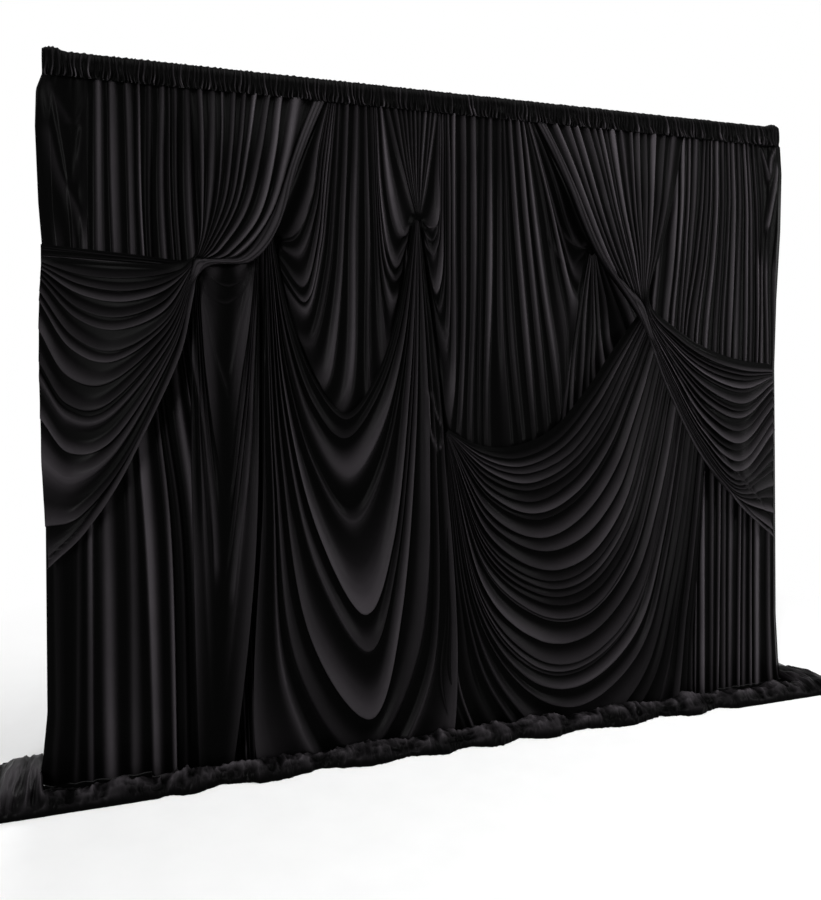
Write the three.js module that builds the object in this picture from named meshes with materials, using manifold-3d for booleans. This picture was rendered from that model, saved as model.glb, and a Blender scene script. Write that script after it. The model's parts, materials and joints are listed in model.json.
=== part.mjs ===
// Pipe and drape backdrop: two telescopic uprights on flat base plates, a telescopic crossbar hooked
// between them, and a set of stretch-cloth drapes gathered on the crossbar, with swags, a sash and
// a puddled hem. Millimetres. +X runs to the right as seen from the front, the front faces -Y, +Z is up,
// and the origin lies on the floor under the middle of the crossbar.

import * as THREE from "three";
import { mergeVertices } from "three/addons/utils/BufferGeometryUtils.js";
import Module from "manifold-3d";

const wasm = await Module();
wasm.setup();

// Driving dimensions
const uprightSpacing = 2910;
const crossbarHeight = 2400;
const drapeWidth = 3000;

// Shared fits
const seatGap = 0.3;
const slideClearance = 0.35;
const cutOverrun = 5;
const facets = 24;
const bisections = 30;

// Base plate with its rubber feet, spigot and screw
const plateSide = 406;
const plateThickness = 8;
const plateCorner = 40;
const plateArcSteps = 6;
const footHeight = 6;
const footRadius = 19;
const footChamfer = 2;
const footInset = 42;
const footStemRadius = 5;
const footStemLength = 7;
const handleLength = 120;
const handleWidth = 32;
const handleSetback = 150;
const spigotHeight = 150;
const spigotWall = 4;
const spigotBase = 30;
const spigotChamfer = 3;
const screwRadius = 6;
const screwHeadRadius = 12;
const screwLength = 34;

// Uprights
const outerTubeRadius = 25.4;
const outerTubeWall = 1.65;
const mastRadius = 22.225;
const mastWall = 1.65;
const mastLength = 1650;
const mastRise = 24;
const crossbarRise = 146;
const collarRadius = 31;
const collarSkirt = 40;
const collarHead = 30;
const collarChamfer = 3;
const bossRadius = 12;
const bossReach = 50;
const stopRingRadius = 29;
const stopRingHeight = 14;
const bushingFlange = 10;
const bushingPlug = 25;
const bushingBore = 6;
const capThickness = 6;
const capChamfer = 2;
const capPlug = 12;

// Locking knobs
const studRadius = 4;
const studSeat = 10;
const knobRadius = 22;
const knobThickness = 18;
const knobStandOff = 3;
const knobLobes = 5;
const knobLobeShare = 0.16;
const knobOutlineSteps = 40;

// Hook slots in the mast tops and the hooks that drop into them
const slotWidth = 6.8;
const slotHeight = 50;
const slotDrop = 42;
const bladeThickness = 6;
const bladeLip = 12;
const bladeLipThickness = 10;
const bladeTail = 32;
const bladeTailHeight = 24;
const bladeRise = 4;
const hookStandOff = 8;
const rivetRadius = 2.5;

// Crossbar
const barRadius = 19.05;
const barWall = 1.5;
const barWallInner = 1.5;
const outerBarReach = 300;
const innerBarReach = 600;
const plugLength = 42;
const barEndFlange = 8;
const barEndPlug = 20;
const barEndBore = 5;
const twistLockRadius = 22;
const twistLockSkirt = 20;
const twistLockHead = 24;
const twistLockChamfer = 2;

// Header casing
const casingRise = 44;
const casingDrop = 30;
const casingHalfDepth = 36;
const casingBore = 26;
const casingStations = 32;
const casingPucker = 2.5;
const casingOutlineShares = [
  [-0.9, -1], [0.9, -1], [1, -0.4], [0.92, 0.35], [0.55, 0.9], [-0.55, 0.9], [-0.92, 0.35], [-1, -0.4],
];
const mastSleeveGap = 1.2;

// Cloth
const clothThickness = 4;
const curtainSetback = 38;
const backFold = 9;
const fanFold = 4;
const upperFold = 10;
const swagFold = 14;
const sideFold = 14;
const backHeaderDepth = 26.2;
const frontHeaderDepth = 33.5;
const headerFold = 1.5;
const leadLength = 120;
const foldSteepnessShare = 0.45;
const hemClearance = 2;
const hemOverrunShare = 0.02;
const panelGap = 3;
const sashFold = 2;
const wrapReach = 42;
const wrapDepth = 18;
const retreatStart = 1045;
const retreatEnd = 1480;

// Puddled hem
const puddleReach = 1620;
const puddleFront = 200;
const puddleHeight = 46;
const puddleToe = 5;
const puddleStations = 40;
const puddleLowShare = 0.62;
const puddleNearShare = 0.81;
const puddleCrestShare = 0.45;
const puddleEndShare = 0.45;
const puddleEndSharpness = 6;

// Worked out
const plateTop = footHeight + plateThickness;
const outerTubeBore = outerTubeRadius - outerTubeWall;
const mastBore = mastRadius - mastWall;
const tubeFoot = plateTop + seatGap;
const tubeTop = crossbarHeight - crossbarRise;
const outerTubeLength = tubeTop - tubeFoot;
const mastTop = crossbarHeight + mastRise;
const mastFoot = mastTop - mastLength;
const uprightX = uprightSpacing / 2;
const slotFoot = crossbarHeight - slotDrop;
const barBore = barRadius - barWall;
const innerBarRadius = barBore - slideClearance;
const innerBarBore = innerBarRadius - barWallInner;
const barEnd = uprightX - mastRadius - hookStandOff;
const halfDrape = drapeWidth / 2;
const drapeTop = crossbarHeight - casingDrop;

// Each layer of cloth hangs in its own slab of depth, in front of the one before it.
const slabDepth = (fold) => 2 * fold + clothThickness;
const backPlane = curtainSetback + slabDepth(backFold) / 2;
const fanPlane = backPlane + (slabDepth(backFold) + slabDepth(fanFold)) / 2 + seatGap;
const upperPlane = fanPlane + (slabDepth(fanFold) + slabDepth(upperFold)) / 2 + seatGap;
const swagPlane = upperPlane + (slabDepth(upperFold) + slabDepth(swagFold)) / 2 + seatGap;
const sidePlane = swagPlane + (slabDepth(swagFold) + slabDepth(sideFold)) / 2 + seatGap;
const sashPlane = backPlane + (slabDepth(backFold) + slabDepth(sashFold)) / 2 + seatGap;
const edgePlane = backPlane + (slabDepth(backFold) + slabDepth(sideFold)) / 2 + seatGap;

// The place from which the fold lines were read, and the depth of the plane they were read on.
const eyeX = -1275;
const eyeDistance = 3120;
const eyeHeight = 1425;
const readDepth = 60;

// Fold lines of the cloth, each a list of [x, z]: x in shares of half the drape's width, z in shares of
// the drop from the casing to the floor. A panel's lines run in order across its folds.
const upperCurtainShares = [
  [[-0.363, 1], [-0.385, 0.928], [-0.403, 0.857], [-0.443, 0.797], [-0.49, 0.781]],
  [[-0.35, 1], [-0.37, 0.886], [-0.387, 0.781], [-0.423, 0.7], [-0.49, 0.751]],
  [[-0.333, 1], [-0.343, 0.865], [-0.36, 0.738], [-0.4, 0.633], [-0.447, 0.633]],
  [[-0.3, 1], [-0.303, 0.844], [-0.31, 0.696], [-0.327, 0.57], [-0.353, 0.515]],
  [[-0.273, 1], [-0.273, 0.844], [-0.273, 0.696], [-0.273, 0.57], [-0.28, 0.506]],
  [[-0.257, 1], [-0.252, 0.844], [-0.245, 0.717], [-0.23, 0.612], [-0.213, 0.57]],
  [[-0.243, 1], [-0.233, 0.865], [-0.217, 0.781], [-0.19, 0.759], [-0.16, 0.793]],
  [[-0.23, 1], [-0.213, 0.907], [-0.193, 0.835], [-0.175, 0.804], [-0.15, 0.816]],
  [[-0.213, 1], [-0.19, 0.928], [-0.167, 0.873], [-0.148, 0.84], [-0.141, 0.825]],
  [[-0.14, 1], [-0.139, 0.928], [-0.137, 0.878], [-0.135, 0.844], [-0.135, 0.826]],
  [[-0.087, 1], [-0.1, 0.928], [-0.113, 0.873], [-0.124, 0.84], [-0.13, 0.825]],
  [[-0.079, 1], [-0.081, 0.907], [-0.084, 0.844], [-0.1, 0.814], [-0.124, 0.821]],
  [[-0.069, 1], [-0.072, 0.865], [-0.075, 0.759], [-0.093, 0.717], [-0.119, 0.785]],
  [[-0.057, 1], [-0.052, 0.823], [-0.052, 0.696], [-0.067, 0.646], [-0.1, 0.7]],
  [[-0.04, 1], [-0.04, 0.802], [-0.04, 0.654], [-0.047, 0.57], [-0.063, 0.506]],
  [[-0.017, 1], [-0.015, 0.823], [-0.012, 0.675], [-0.017, 0.549], [-0.027, 0.473]],
  [[0.02, 1], [0.02, 0.823], [0.019, 0.675], [0.015, 0.549], [0.013, 0.456]],
  [[0.067, 1], [0.065, 0.844], [0.062, 0.696], [0.06, 0.57], [0.06, 0.447]],
  [[0.1, 1], [0.112, 0.844], [0.127, 0.696], [0.143, 0.57], [0.16, 0.451]],
  [[0.127, 1], [0.147, 0.844], [0.17, 0.709], [0.193, 0.582], [0.213, 0.464]],
  [[0.15, 1], [0.18, 0.857], [0.21, 0.73], [0.24, 0.603], [0.26, 0.485]],
  [[0.163, 1], [0.213, 0.878], [0.252, 0.772], [0.28, 0.675], [0.287, 0.57]],
  [[0.175, 1], [0.237, 0.886], [0.277, 0.81], [0.307, 0.768], [0.34, 0.785]],
  [[0.181, 1], [0.257, 0.899], [0.295, 0.844], [0.32, 0.814], [0.35, 0.802]],
];
const fanShares = [
  [[0.341, 0.787], [0.31, 0.717], [0.283, 0.612], [0.267, 0.473]],
  [[0.349, 0.785], [0.333, 0.696], [0.32, 0.591], [0.313, 0.506]],
  [[0.358, 0.785], [0.357, 0.675], [0.353, 0.612], [0.353, 0.536]],
  [[0.367, 0.785], [0.381, 0.696], [0.393, 0.633], [0.403, 0.574]],
  [[0.375, 0.785], [0.41, 0.717], [0.433, 0.667], [0.453, 0.616]],
];
const columnShares = [
  [[-0.657, 0.732], [-0.633, 0.722], [-0.6, 0.718], [-0.573, 0.724], [-0.55, 0.738]],
  [[-0.66, 0.73], [-0.637, 0.704], [-0.603, 0.694], [-0.572, 0.704], [-0.545, 0.736]],
  [[-0.664, 0.726], [-0.643, 0.654], [-0.612, 0.582], [-0.577, 0.654], [-0.541, 0.734]],
  [[-0.669, 0.722], [-0.65, 0.591], [-0.607, 0.443], [-0.567, 0.591], [-0.537, 0.732]],
  [[-0.675, 0.717], [-0.657, 0.506], [-0.62, 0.262], [-0.57, 0.464], [-0.533, 0.73]],
  [[-0.68, 0.713], [-0.667, 0.422], [-0.633, 0.042], [-0.563, 0.338], [-0.53, 0.728]],
  [[-0.687, 0.709], [-0.687, 0.38], [-0.653, -0.169], [-0.547, 0.253], [-0.527, 0.726]],
];
const leftFloorSwagShares = [
  [
    [-0.497, 0.759], [-0.46, 0.675], [-0.4, 0.574], [-0.32, 0.517],
    [-0.243, 0.574], [-0.187, 0.675], [-0.15, 0.793],
  ],
  [
    [-0.501, 0.757], [-0.467, 0.633], [-0.407, 0.506], [-0.323, 0.439],
    [-0.24, 0.506], [-0.179, 0.633], [-0.146, 0.789],
  ],
  [
    [-0.507, 0.755], [-0.47, 0.549], [-0.4, 0.359], [-0.28, 0.224],
    [-0.203, 0.338], [-0.16, 0.57], [-0.141, 0.785],
  ],
  [
    [-0.512, 0.753], [-0.48, 0.464], [-0.413, 0.203], [-0.26, 0.059],
    [-0.183, 0.211], [-0.143, 0.485], [-0.136, 0.781],
  ],
  [
    [-0.517, 0.751], [-0.497, 0.422], [-0.46, 0.127], [-0.287, -0.042],
    [-0.143, 0.127], [-0.123, 0.443], [-0.131, 0.776],
  ],
  [
    [-0.523, 0.749], [-0.527, 0.401], [-0.533, -0.03], [-0.3, -0.253],
    [-0.08, -0.03], [-0.093, 0.422], [-0.127, 0.772],
  ],
];
const rightFloorSwagShares = [
  [
    [-0.04, 0.483], [0.033, 0.463], [0.133, 0.458], [0.247, 0.485],
    [0.347, 0.549], [0.433, 0.62], [0.503, 0.686],
  ],
  [
    [-0.043, 0.481], [0.053, 0.43], [0.167, 0.409], [0.287, 0.439],
    [0.383, 0.506], [0.46, 0.591], [0.519, 0.675],
  ],
  [
    [-0.047, 0.479], [0.053, 0.376], [0.187, 0.333], [0.313, 0.363],
    [0.417, 0.439], [0.49, 0.54], [0.537, 0.65],
  ],
  [
    [-0.05, 0.477], [0.047, 0.321], [0.2, 0.249], [0.34, 0.262],
    [0.453, 0.346], [0.523, 0.473], [0.56, 0.612],
  ],
  [
    [-0.053, 0.475], [0.04, 0.266], [0.2, 0.169], [0.353, 0.165],
    [0.483, 0.253], [0.557, 0.392], [0.587, 0.561],
  ],
  [
    [-0.057, 0.473], [0.02, 0.211], [0.16, 0.072], [0.333, 0.042],
    [0.507, 0.127], [0.593, 0.295], [0.62, 0.506],
  ],
  [
    [-0.06, 0.47], [-0.013, 0.211], [0.067, 0.042], [0.28, -0.105],
    [0.533, 0], [0.633, 0.211], [0.653, 0.464],
  ],
  [
    [-0.063, 0.468], [-0.05, 0.211], [-0.033, 0.021], [0.233, -0.338],
    [0.633, -0.169], [0.68, 0.127], [0.687, 0.435],
  ],
];
const leftSideShares = [
  [
    [-0.687, 1], [-0.68, 0.928], [-0.673, 0.844], [-0.67, 0.781], [-0.69, 0.745],
    [-0.753, 0.732], [-0.84, 0.726], [-0.927, 0.73], [-1.003, 0.736],
  ],
  [
    [-0.653, 1], [-0.65, 0.928], [-0.652, 0.844], [-0.661, 0.781], [-0.687, 0.741],
    [-0.753, 0.709], [-0.84, 0.694], [-0.927, 0.703], [-1.003, 0.729],
  ],
  [
    [-0.6, 1], [-0.603, 0.92], [-0.617, 0.84], [-0.65, 0.776], [-0.683, 0.738],
    [-0.747, 0.675], [-0.847, 0.646], [-0.933, 0.662], [-1.005, 0.715],
  ],
  [
    [-0.553, 1], [-0.567, 0.916], [-0.59, 0.835], [-0.637, 0.772], [-0.679, 0.736],
    [-0.74, 0.652], [-0.857, 0.591], [-0.947, 0.608], [-1.008, 0.675],
  ],
  [
    [-0.51, 1], [-0.53, 0.911], [-0.563, 0.827], [-0.62, 0.768], [-0.675, 0.735],
    [-0.735, 0.637], [-0.867, 0.54], [-0.953, 0.54], [-1.009, 0.599],
  ],
  [
    [-0.47, 1], [-0.49, 0.907], [-0.53, 0.819], [-0.6, 0.762], [-0.671, 0.733],
    [-0.728, 0.624], [-0.853, 0.498], [-0.947, 0.473], [-1.007, 0.515],
  ],
  [
    [-0.42, 1], [-0.453, 0.907], [-0.503, 0.814], [-0.577, 0.757], [-0.667, 0.732],
    [-0.721, 0.616], [-0.833, 0.473], [-0.933, 0.409], [-1.003, 0.418],
  ],
  [
    [-0.37, 1], [-0.427, 0.907], [-0.49, 0.806], [-0.557, 0.753], [-0.663, 0.731],
    [-0.715, 0.61], [-0.817, 0.464], [-0.913, 0.371], [-0.993, 0.321],
  ],
];
const rightSideShares = [
  [
    [0.647, 1], [0.617, 0.886], [0.577, 0.793], [0.541, 0.703],
    [0.627, 0.656], [0.727, 0.622], [0.84, 0.601], [0.957, 0.591],
  ],
  [
    [0.6, 1], [0.583, 0.886], [0.557, 0.793], [0.536, 0.698],
    [0.627, 0.635], [0.733, 0.595], [0.85, 0.576], [0.957, 0.579],
  ],
  [
    [0.533, 1], [0.533, 0.886], [0.53, 0.793], [0.531, 0.694],
    [0.625, 0.616], [0.733, 0.561], [0.853, 0.536], [0.958, 0.568],
  ],
  [
    [0.467, 1], [0.483, 0.886], [0.505, 0.793], [0.527, 0.69],
    [0.62, 0.599], [0.727, 0.523], [0.847, 0.492], [0.959, 0.549],
  ],
  [
    [0.4, 1], [0.437, 0.886], [0.477, 0.789], [0.522, 0.687],
    [0.613, 0.584], [0.72, 0.489], [0.843, 0.445], [0.96, 0.515],
  ],
  [
    [0.333, 1], [0.39, 0.886], [0.45, 0.781], [0.517, 0.684],
    [0.607, 0.572], [0.713, 0.464], [0.84, 0.392], [0.96, 0.456],
  ],
  [
    [0.267, 1], [0.34, 0.886], [0.42, 0.772], [0.513, 0.68],
    [0.6, 0.563], [0.707, 0.449], [0.833, 0.365], [0.959, 0.371],
  ],
  [
    [0.19, 1], [0.287, 0.895], [0.383, 0.785], [0.508, 0.677],
    [0.593, 0.557], [0.7, 0.441], [0.823, 0.354], [0.957, 0.283],
  ],
];
const sashShares = [
  [[-1.003, 0.756], [-0.9, 0.752], [-0.8, 0.748], [-0.72, 0.745], [-0.687, 0.749], [-0.657, 0.755]],
  [[-1.003, 0.738], [-0.9, 0.736], [-0.8, 0.735], [-0.72, 0.733], [-0.693, 0.728], [-0.663, 0.724]],
];

// Makes a solid of a closed geometry, and turns its faces round where they point inwards.
function solid(geometry) {
  const bare = geometry.index ? geometry.toNonIndexed() : geometry.clone();
  bare.deleteAttribute("normal");
  bare.deleteAttribute("uv");
  const merged = mergeVertices(bare);
  const vertProperties = merged.attributes.position.array;
  const triVerts = new Uint32Array(merged.index.array);
  const corner = (i) => new THREE.Vector3().fromArray(vertProperties, 3 * triVerts[i]);
  let volume = 0;
  for (let i = 0; i < triVerts.length; i += 3) {
    volume += corner(i).dot(corner(i + 1).cross(corner(i + 2)));
  }
  if (volume < 0) triVerts.reverse();
  return new wasm.Manifold(new wasm.Mesh({ numProp: 3, vertProperties, triVerts }));
}

function geometryOf(body) {
  const mesh = body.getMesh();
  const places = new Float32Array(3 * mesh.numVert);
  for (let i = 0; i < mesh.numVert; i += 1) {
    places.set(mesh.vertProperties.subarray(i * mesh.numProp, i * mesh.numProp + 3), 3 * i);
  }
  const geometry = new THREE.BufferGeometry();
  geometry.setAttribute("position", new THREE.BufferAttribute(places, 3));
  geometry.setIndex(new THREE.BufferAttribute(mesh.triVerts, 1));
  geometry.computeVertexNormals();
  return geometry;
}

// A closed profile of [radius, height] turned about Z.
function turned(profile, steps = facets) {
  const points = [...profile, profile[0]].map(([r, z]) => new THREE.Vector2(r, z));
  return new THREE.LatheGeometry(points, steps).rotateX(Math.PI / 2);
}

function tube(radius, bore, length) {
  return turned([[bore, 0], [radius, 0], [radius, length], [bore, length]]);
}

function rod(radius, length) {
  return new THREE.CylinderGeometry(radius, radius, length, facets)
    .rotateX(Math.PI / 2)
    .translate(0, 0, length / 2);
}

// A rod lying along Y from one place to another, at a height.
function crossRod(radius, from, to, height) {
  const turnedRod = new THREE.CylinderGeometry(radius, radius, to - from, facets / 2);
  return turnedRod.translate(0, (from + to) / 2, height);
}

function block(width, depth, height) {
  return new THREE.BoxGeometry(width, depth, height);
}

const group = new THREE.Group();
const finish = (color, roughness, metalness) =>
  new THREE.MeshStandardMaterial({ color, roughness, metalness });
const finishes = {
  cloth: finish(0x141416, 0.55, 0),
  plate: finish(0x1c1c1e, 0.6, 0.4),
  aluminium: finish(0xb9bcc0, 0.35, 0.9),
  steel: finish(0x9a9da1, 0.4, 0.9),
  plastic: finish(0x18181a, 0.5, 0),
  rubber: finish(0x101010, 0.85, 0),
};

function addPiece(parent, name, shape, material, place = [0, 0, 0], turn = 0) {
  const geometry = shape.isBufferGeometry ? geometryOf(solid(shape)) : geometryOf(shape);
  const mesh = new THREE.Mesh(geometry, material);
  mesh.name = name;
  mesh.position.set(...place);
  mesh.rotation.z = turn;
  parent.add(mesh);
}

// Base plate: a rounded steel square with a hand slot at the back, and holes for the feet and the screw.
function basePlate() {
  const half = plateSide / 2;
  const straight = half - plateCorner;
  const outline = new THREE.Shape();
  outline.absarc(straight, straight, plateCorner, 0, Math.PI / 2);
  outline.absarc(-straight, straight, plateCorner, Math.PI / 2, Math.PI);
  outline.absarc(-straight, -straight, plateCorner, Math.PI, 1.5 * Math.PI);
  outline.absarc(straight, -straight, plateCorner, 1.5 * Math.PI, 2 * Math.PI);
  const slot = new THREE.Path();
  const slotEnd = (handleLength - handleWidth) / 2;
  slot.absarc(slotEnd, handleSetback, handleWidth / 2, -Math.PI / 2, Math.PI / 2);
  slot.absarc(-slotEnd, handleSetback, handleWidth / 2, Math.PI / 2, 1.5 * Math.PI);
  outline.holes.push(slot);
  const round = (x, y, radius) => {
    outline.holes.push(new THREE.Path().absarc(x, y, radius, 0, 2 * Math.PI));
  };
  round(0, 0, screwRadius + seatGap);
  for (const [x, y] of footPlaces()) round(x, y, footStemRadius + seatGap);
  const slab = new THREE.ExtrudeGeometry(outline, {
    depth: plateThickness,
    bevelEnabled: false,
    curveSegments: plateArcSteps,
  });
  const sinkDepth = screwHeadRadius - screwRadius;
  const sink = turned([
    [0, -cutOverrun],
    [screwHeadRadius + seatGap + cutOverrun, -cutOverrun],
    [screwRadius + seatGap, sinkDepth],
    [0, sinkDepth],
  ]);
  return solid(slab).subtract(solid(sink));
}

function footPlaces() {
  const reach = plateSide / 2 - footInset;
  return [[-reach, -reach], [reach, -reach], [reach, reach], [-reach, reach]];
}

function rubberFoot() {
  const top = footHeight - seatGap;
  return turned([
    [0, 0],
    [footRadius - footChamfer, 0],
    [footRadius, footChamfer],
    [footRadius, top],
    [footStemRadius, top],
    [footStemRadius, top + footStemLength],
    [0, top + footStemLength],
  ], facets / 2);
}

function countersunkScrew() {
  return turned([
    [0, 0],
    [screwHeadRadius, 0],
    [screwRadius, screwHeadRadius - screwRadius],
    [screwRadius, screwLength],
    [0, screwLength],
  ]);
}

function spigot() {
  const radius = outerTubeBore - slideClearance;
  return turned([
    [screwRadius + seatGap, 0],
    [radius, 0],
    [radius, spigotHeight - spigotChamfer],
    [radius - spigotChamfer, spigotHeight],
    [radius - spigotWall, spigotHeight],
    [radius - spigotWall, spigotBase],
    [screwRadius + seatGap, spigotBase],
  ]);
}

// Outer upright, drilled near its top for the stud of the locking knob.
function outerUpright() {
  const holeHeight = outerTubeLength - collarSkirt / 2;
  const hole = crossRod(studRadius + seatGap, 0, outerTubeRadius + cutOverrun, holeHeight);
  return solid(tube(outerTubeRadius, outerTubeBore, outerTubeLength)).subtract(solid(hole));
}

// Guide collar: sits over the top of the outer upright, guides the mast and carries the knob's boss.
function guideCollar() {
  const shoulder = collarSkirt + seatGap;
  const body = turned([
    [outerTubeRadius + seatGap, 0],
    [collarRadius - collarChamfer, 0],
    [collarRadius, collarChamfer],
    [collarRadius, shoulder + collarHead - collarChamfer],
    [collarRadius - collarChamfer, shoulder + collarHead],
    [mastRadius + slideClearance, shoulder + collarHead],
    [mastRadius + slideClearance, shoulder],
    [outerTubeRadius + seatGap, shoulder],
  ]);
  const bossFoot = (outerTubeRadius + collarRadius) / 2;
  const boss = crossRod(bossRadius, bossFoot, bossReach, collarSkirt / 2);
  const hole = crossRod(studRadius + seatGap, 0, bossReach + cutOverrun, collarSkirt / 2);
  return solid(body).add(solid(boss)).subtract(solid(hole));
}

function mastTube() {
  const wall = tube(mastRadius, mastBore, mastLength);
  let body = solid(wall);
  const slotMiddle = slotFoot + slotHeight / 2 - mastFoot;
  const across = block(2 * (mastRadius + cutOverrun), slotWidth, slotHeight).translate(0, 0, slotMiddle);
  const along = block(slotWidth, 2 * (mastRadius + cutOverrun), slotHeight).translate(0, 0, slotMiddle);
  body = body.subtract(solid(across)).subtract(solid(along));
  return body;
}

// Bushing that plugs the mast's foot and runs in the outer upright.
function mastBushing() {
  return turned([
    [bushingBore, -bushingFlange],
    [outerTubeBore - slideClearance, -bushingFlange],
    [outerTubeBore - slideClearance, -seatGap],
    [mastBore - seatGap, -seatGap],
    [mastBore - seatGap, bushingPlug],
    [bushingBore, bushingPlug],
  ]);
}

function mastCap() {
  return turned([
    [0, -capPlug],
    [mastBore - seatGap, -capPlug],
    [mastBore - seatGap, seatGap],
    [mastRadius, seatGap],
    [mastRadius, capThickness - capChamfer],
    [mastRadius - capChamfer, capThickness],
    [0, capThickness],
  ]);
}

// Lobed knob head, its axis along +Y, with a blind bore for the stud.
function knobHead() {
  const outline = new THREE.Shape(
    Array.from({ length: knobOutlineSteps }, (_, i) => {
      const angle = (2 * Math.PI * i) / knobOutlineSteps;
      const radius = knobRadius * (1 - knobLobeShare * (0.5 - 0.5 * Math.cos(knobLobes * angle)));
      return new THREE.Vector2(radius * Math.cos(angle), radius * Math.sin(angle));
    }),
  );
  const head = new THREE.ExtrudeGeometry(outline, { depth: knobThickness, bevelEnabled: false });
  head.rotateX(-Math.PI / 2);
  return solid(head).subtract(solid(crossRod(studRadius + seatGap, -cutOverrun, studSeat, 0)));
}

// Hook blade seen from the side: a tail in the bar's end, a neck through the mast's slot and a lip behind
// the mast's wall.
function hookBlade() {
  const wallOuter = hookStandOff;
  const wallInner = wallOuter + mastWall + 2 * seatGap;
  const lipTip = wallInner + bladeLipThickness;
  const neckFoot = -slotDrop + seatGap;
  const outline = new THREE.Shape();
  outline.moveTo(-bladeTail, -bladeTailHeight / 2);
  outline.lineTo(seatGap, -bladeTailHeight / 2);
  outline.lineTo(wallOuter / 2, neckFoot);
  outline.lineTo(wallInner, neckFoot);
  outline.lineTo(wallInner, neckFoot - bladeLip);
  outline.lineTo(lipTip, neckFoot - bladeLip);
  outline.lineTo(lipTip, 0);
  outline.lineTo(wallInner, bladeRise);
  outline.lineTo(seatGap, bladeTailHeight / 2);
  outline.lineTo(-bladeTail, bladeTailHeight / 2);
  const blade = new THREE.ExtrudeGeometry(outline, { depth: bladeThickness, bevelEnabled: false });
  blade.rotateX(Math.PI / 2).translate(0, bladeThickness / 2, 0);
  return solid(blade).subtract(solid(rivetHole()));
}

function rivetHole() {
  return crossRod(rivetRadius + seatGap, -barRadius - cutOverrun, barRadius + cutOverrun, 0)
    .translate(-bladeTail / 2, 0, 0);
}

// Slotted plug in the bar's end that holds the blade's tail.
function hookPlug(bore) {
  const plug = turned([[0, 0], [bore - seatGap, 0], [bore - seatGap, plugLength], [0, plugLength]]);
  plug.rotateY(-Math.PI / 2);
  const cut = bladeTail + seatGap;
  const slot = block(cut + cutOverrun, bladeThickness + 2 * seatGap, 2 * bore + cutOverrun)
    .translate((cutOverrun - cut) / 2, 0, 0);
  return solid(plug).subtract(solid(slot)).subtract(solid(rivetHole()));
}

function barTube(radius, bore, length) {
  const body = tube(radius, bore, length).rotateY(-Math.PI / 2);
  return solid(body).subtract(solid(rivetHole()));
}

// Twist lock: a collar on the outer bar's open end that grips the inner bar.
function twistLock() {
  const shoulder = twistLockSkirt;
  return turned([
    [barRadius + seatGap, 0],
    [twistLockRadius - twistLockChamfer, 0],
    [twistLockRadius, twistLockChamfer],
    [twistLockRadius, shoulder + twistLockHead - twistLockChamfer],
    [twistLockRadius - twistLockChamfer, shoulder + twistLockHead],
    [innerBarRadius + slideClearance, shoulder + twistLockHead],
    [innerBarRadius + slideClearance, shoulder + seatGap],
    [barRadius + seatGap, shoulder + seatGap],
  ]).rotateY(Math.PI / 2);
}

function innerBarEnd() {
  return turned([
    [barEndBore, -barEndFlange],
    [barBore - slideClearance, -barEndFlange],
    [barBore - slideClearance, -seatGap],
    [innerBarBore - seatGap, -seatGap],
    [innerBarBore - seatGap, barEndPlug],
    [barEndBore, barEndPlug],
  ]).rotateY(Math.PI / 2);
}

// A foot: plate, four rubber feet, spigot, screw, outer upright, collar and locking knob.
function addFoot(side, x) {
  const foot = new THREE.Group();
  foot.position.set(x, 0, 0);
  group.add(foot);
  addPiece(foot, `${side}_base_plate`, basePlate(), finishes.plate, [0, 0, footHeight]);
  footPlaces().forEach(([px, py], i) => {
    addPiece(foot, `${side}_rubber_foot_${i + 1}`, rubberFoot(), finishes.rubber, [px, py, 0]);
  });
  addPiece(foot, `${side}_base_screw`, countersunkScrew(), finishes.steel, [0, 0, footHeight]);
  addPiece(foot, `${side}_base_spigot`, spigot(), finishes.steel, [0, 0, tubeFoot]);
  addPiece(foot, `${side}_outer_upright`, outerUpright(), finishes.aluminium, [0, 0, tubeFoot]);
  addPiece(foot, `${side}_guide_collar`, guideCollar(), finishes.plastic, [0, 0, tubeTop - collarSkirt]);
  const knobHeight = tubeTop - collarSkirt / 2;
  const knobFoot = bossReach + knobStandOff;
  const studFoot = mastRadius + slideClearance;
  addPiece(foot, `${side}_knob_stud`, crossRod(studRadius, studFoot, knobFoot + studSeat - seatGap, 0),
    finishes.steel, [0, 0, knobHeight]);
  addPiece(foot, `${side}_lock_knob`, knobHead(), finishes.plastic, [0, knobFoot, knobHeight]);
}

function addMast(side, x) {
  const mast = new THREE.Group();
  mast.position.set(x, 0, 0);
  group.add(mast);
  addPiece(mast, `${side}_mast`, mastTube(), finishes.aluminium, [0, 0, mastFoot]);
  addPiece(mast, `${side}_mast_bushing`, mastBushing(), finishes.plastic, [0, 0, mastFoot]);
  addPiece(mast, `${side}_mast_cap`, mastCap(), finishes.plastic, [0, 0, mastTop]);
  const ring = tube(stopRingRadius, mastRadius + seatGap, stopRingHeight);
  addPiece(mast, `${side}_stop_ring`, ring, finishes.aluminium, [0, 0, tubeTop + collarHead + 2 * seatGap]);
}

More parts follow.
